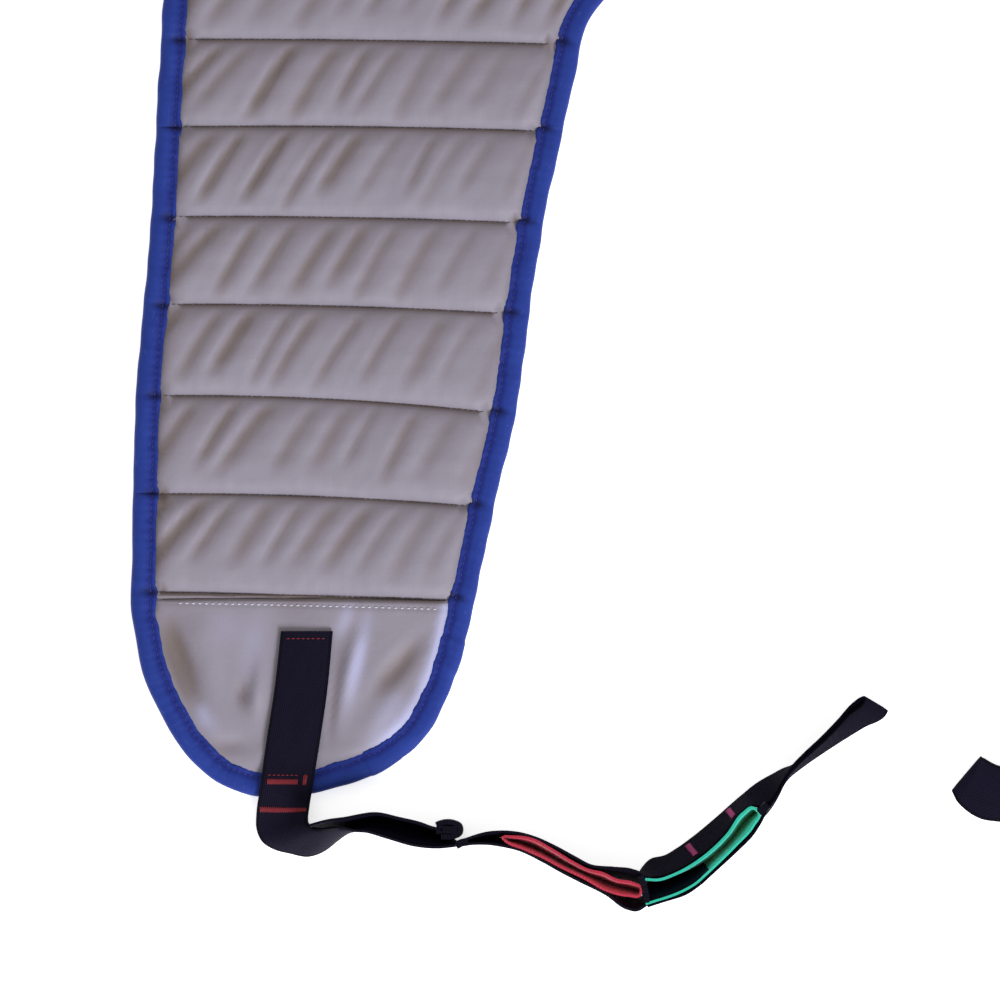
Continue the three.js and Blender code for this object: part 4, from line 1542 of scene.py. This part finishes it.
# The lead's turn on to its edge: (distance along, height of its middle, how far it has turned).
SHOULDER_TURN = ((-8, 11.4, 0), (4, 9.6, 0.1), (14, 14.8, 0.5), (24, 18.8, 0.85), (34, 19, 1))
SEWN_END = 12               # how much shorter the sewn webbing is than its anchor
LEAD_START = -6, 12         # where the lead bends off the back, along it from the hinge
LEAD_HEIGHT = 17            # and the height of that bend
LOOP_BEND = -1, 16          # where a shoulder loop bends with the one before it, from its hinge


def flipped(rows):
    """The same rows on the other side of the chord, and back along it."""
    return [(along, -low, -high) for along, low, high in rows[::-1]]


def shoulder(label, side):
    """A shoulder strap: its sewn end and lead, the lined loop and the plain end loop."""
    name = f"{label}_shoulder"
    on_lead, on_green, on_end = (f"{name}_{body}" for body in ("lead", "green", "end"))
    root = hinge(f"{name}_lift")[:2]
    first, second = (hinge(f"{name}_{loop}_loop_swing") for loop in ("green", "end"))
    tip = far_end(f"{name}_end_loop", second)
    heading = (first[:2] - root) / np.linalg.norm(first[:2] - root)
    sideways = np.array([-heading[1], heading[0]])
    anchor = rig.box(f"{name}_anchor")
    length = (anchor[1].y - anchor[0].y) / MM - SEWN_END
    sewn = ((-length, 12.6, 0), (-0.6 * length, 13.2, 0), (-0.25 * length, 12.8, 0))
    stations = []
    for along, middle, turn in sewn + SHOULDER_TURN:
        lean = turn * math.pi / 2
        reach, height = WEBBING / 2 * math.cos(lean), (WEBBING / 2 - LIFT) * math.sin(lean)
        centre = root + heading * along
        a, b = centre - sideways * reach, centre + sideways * reach
        stations.append((*a, middle - height, *b, middle + height))
    strap = webbing(f"{name}_lead_webbing", stations, nodes=[f"{name}_anchor", f"{name}_lead"])
    start, end = (Vector((*(root + heading * along), LEAD_HEIGHT)) * MM for along in LEAD_START)
    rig.blend(strap, "back", on_lead, start=start, end=end)

    chord = Chord(first, second, side)
    outside = [*SHOULDER_OUTSIDE, (chord.length, 1.2, 1.2)]
    around = [*SHOULDER_LINER, *flipped(SHOULDER_LINER[:-1]), (7, 0, 0)]
    parts = [
        webbing(f"{name}_green_outer_ply", chord.stations(outside), nodes=[f"{name}_green_loop"]),
        webbing(f"{name}_green_inner_ply", chord.stations(flipped(outside)[::-1]),
                nodes=[f"{name}_green_loop"]),
        webbing(f"{name}_green_lining", chord.stations(around), GREEN, [f"{name}_green_liner"],
                ply=LINER_PLY, closed=True),
    ]
    for part in parts:
        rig.blend(part, on_lead, on_green, **chord.span(*LOOP_BEND))

    last = Chord(second, tip, side)
    outside = [*SHOULDER_END, (last.length - 6, 2.4, 4)]
    around = [*outside, (last.length - 1.5, 0, 0.5), *flipped(outside)]
    end_loop = webbing(f"{name}_end_webbing", last.stations(around), nodes=[f"{name}_end_loop"])
    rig.blend(end_loop, on_green, on_end, **last.span(*LOOP_BEND))
    tack(f"{name}_first_tack", on_lead, on_green, root, first, second)
    tack(f"{name}_second_tack", on_green, on_end, first, second, tip)


# ---- back handle ----

def handle():
    """The grab handle: webbing sewn down at both ends and raised between them."""
    low, high = (np.array(c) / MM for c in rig.box("back_handle"))
    surface, top, half = low[2] - 1.2, high[2] - 3, high[0]
    rise = ((0, surface), (12, surface + 0.4), (26, surface), (36, surface + 6), (50, top - 7), (66, top))
    rows = [(-half + in_from_end, z) for in_from_end, z in rise]
    rows += [(0, top + 0.8)] + [(-x, z) for x, z in rows[::-1]]
    stations = [(x, low[1], z, x, high[1], z) for x, z in rows]
    strap = webbing("back_handle_webbing", stations, nodes=["back_handle"])
    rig.ride(strap, "back")


# ---- assembly ----

pads = build_pads()
bindings, tape_rows = build_bindings()

PAD_NODES = {
    "head": ["head_pad"], "back": ["hip_panel", "lower_back_panel", "upper_back_panel"],
    "hip": ["leg_channel_1"], "knee": [f"leg_channel_{i}" for i in (2, 3, 4, 5)],
    "end": ["leg_channel_6", "end_flap"],
}
TAPE_NODES = {
    "left_side": ["left_side_binding"], "right_side": ["right_side_binding"], "arch": ["arch_binding"],
    "head": ["head_binding"],
}
for side_label, _ in SIDES:
    for reach in ("outer", "inner"):
        TAPE_NODES[f"{side_label}_hip_{reach}"] = [f"{side_label}_thigh_{reach}_binding"]
        TAPE_NODES[f"{side_label}_knee_{reach}"] = [f"{side_label}_thigh_{reach}_binding",
                                                    f"{side_label}_lower_{reach}_binding"]
    TAPE_NODES[f"{side_label}_end"] = [f"{side_label}_{edge}_binding"
                                       for edge in ("lower_outer", "lower_inner", "flap")]

for zone_name, pad in pads.items():
    side_label, _, part_name = zone_name.rpartition("_")
    follow(pad, zone_name)
    prefix = f"{side_label}_" if side_label else ""
    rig.replaces(pad, *[prefix + n for n in PAD_NODES[part_name]])
    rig.slot(pad, "quilt_fabric")
    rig.padded(pad, fill=0.45)
for run_name, (tape, zone_name) in bindings.items():
    follow(tape, zone_name)
    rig.replaces(tape, *TAPE_NODES[run_name])
    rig.slot(tape, "binding_tape")


ROW_POINTS = 160            # of a row of stitches across the pad
# The rows of stitches on the pad: distance from one stitch to the next, and the thread's radius.
TAPE_THREAD = 4.4, 0.42
SEAM_THREAD = 4.0, 0.4
FLAP_THREAD = 4.7, 0.55
BARTACK_PLACES = 39, 78     # of the bartacks on the green loops


def seam_stitches():
    """The thread down in each seam, by zone."""
    line, ends = pad_boundary()
    rows = {zone: [] for zone in ZONES}
    for index, pairs in enumerate(ends):
        for a, b in pairs:
            x = np.linspace(line[a, 0] + 3, line[b, 0] - 3, ROW_POINTS)
            points = np.stack([x, seam_y(index, x)], axis=1)
            middle = points[ROW_POINTS // 2]
            zone = ZONES[zone_of(np.array([middle - (0, 0.5)]))[0]]
            rows[zone].append(np.column_stack([points, np.full(len(x), SEAM_HEIGHT + 0.25)]))
    return rows


def flap_stitches(side):
    """The white row under the flap's seam."""
    outer, inner = LEG_SEAMS[FLAP][0][0], LEG_SEAMS[FLAP][1][0]
    out = np.linspace(inner + 8, outer - 14, ROW_POINTS)
    x = side * out
    points = np.stack([x, seam_y(FIRST_LEG_SEAM + FLAP, x) - stitch_drop(out)], axis=1)
    top, _, _ = pad_heights(points, edge_distance(points))
    return np.column_stack([points, top + 0.2])


seam_rows = seam_stitches()
for zone_name in ZONES:
    for kind, rows, (pitch, radius), finish in (("tape", tape_rows, TAPE_THREAD, BLUE_THREAD),
                                                ("seam", seam_rows, SEAM_THREAD, GREY_THREAD)):
        stitches = [pair for row in rows[zone_name] for pair in stitched(row, pitch)]
        follow(thread_piece(f"{zone_name}_{kind}_stitches", stitches, radius, finish), zone_name)
for side_label, side_sign in SIDES:
    pitch, radius = FLAP_THREAD
    stitches = stitched(flap_stitches(side_sign), pitch, share=0.55)
    follow(thread_piece(f"{side_label}_flap_stitches", stitches, radius, WHITE_THREAD), f"{side_label}_end")

for side_label, side_sign in SIDES:
    lead(side_label, side_sign)
    outside = leg_loops(side_label, side_sign)
    thread = [stitch for place in BARTACK_PLACES
              for stitch in bartack(outside, place, place + 5, (0.2, 0.86), 26)]
    bartacks = thread_piece(f"{side_label}_green_bartacks", thread, BARTACK_THREAD, MAGENTA_THREAD)
    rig.ride(bartacks, f"{side_label}_green")
    shoulder(side_label, side_sign)
handle()

for side_label, _ in SIDES:
    stay = frame["nodes"][f"{side_label}_head_stay"]
    stay.data.materials.clear()
    stay.data.materials.append(PLASTIC)


# ---- floor, light and camera ----

FLOOR_SIZE, FLOOR_HEIGHT = 30, -0.0006      # in metres, as everything about the studio is
# The lamps: name, place, target, size, power, tint.
LAMPS = (
    ("key", (1.2, -3.4, 2.2), (-0.2, -0.5, 0), 1.5, 165, (0.90, 0.93, 1.0)),
    ("fill", (-1.4, 2.4, 2.6), (-0.2, -0.4, 0), 2.2, 26, (1.0, 0.9, 0.78)),
)
FIELD = 0.72                # width of the photo on the floor
DISTANCE = 20.0             # of the camera
SENSOR = 36.0               # in millimetres


def floor():
    """A pale floor just below the sling."""
    bpy.ops.mesh.primitive_plane_add(size=FLOOR_SIZE, location=(0, 0, FLOOR_HEIGHT))
    plane = bpy.context.object
    plane.name = "floor"
    plane.data.materials.append(floor_material())
    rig.stage(plane)


def area_light(name, place, target, size, power, tint):
    """A square lamp at a place, turned to its target."""
    data = bpy.data.lights.new(name, "AREA")
    data.shape = "SQUARE"
    data.size = size
    data.energy = power
    data.color = tint
    lamp = bpy.data.objects.new(name, data)
    lamp.location = place
    lamp.rotation_euler = (Vector(target) - Vector(place)).to_track_quat("-Z", "Y").to_euler()
    bpy.context.scene.collection.objects.link(lamp)


def studio():
    """A pale world, a cool key lamp from beyond the foot end and a weak warm fill."""
    world = bpy.data.worlds.new("studio")
    world.use_nodes = True
    background = world.node_tree.nodes["Background"]
    background.inputs["Color"].default_value = (0.97, 0.97, 1.0, 1)
    background.inputs["Strength"].default_value = 0.5
    bpy.context.scene.world = world
    for lamp in LAMPS:
        area_light(*lamp)


def photo_camera():
    """Straight above the left leg's lower end, from far off, with a field 720 mm wide on the floor."""
    left_of_middle, foot_margin = 0.0065, 0.302
    flap_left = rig.box("left_flap_binding")[0].x
    strap_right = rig.box("left_strap_end_loop")[1].x
    middle_x = (flap_left + strap_right) / 2 - left_of_middle
    middle_y = cad_box[0].y + foot_margin
    data = bpy.data.cameras.new("camera")
    data.sensor_width = SENSOR
    data.lens = SENSOR * DISTANCE / FIELD
    camera = bpy.data.objects.new("camera", data)
    camera.location = (middle_x, middle_y, DISTANCE)
    bpy.context.scene.collection.objects.link(camera)
    bpy.context.scene.camera = camera


floor()
studio()
photo_camera()
bpy.context.scene.view_settings.view_transform = "Standard"

with open("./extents.json", "w") as sizes:
    json.dump({"cad": [list(c) for c in cad_box], "visual": [list(c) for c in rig.bounds()]}, sizes)
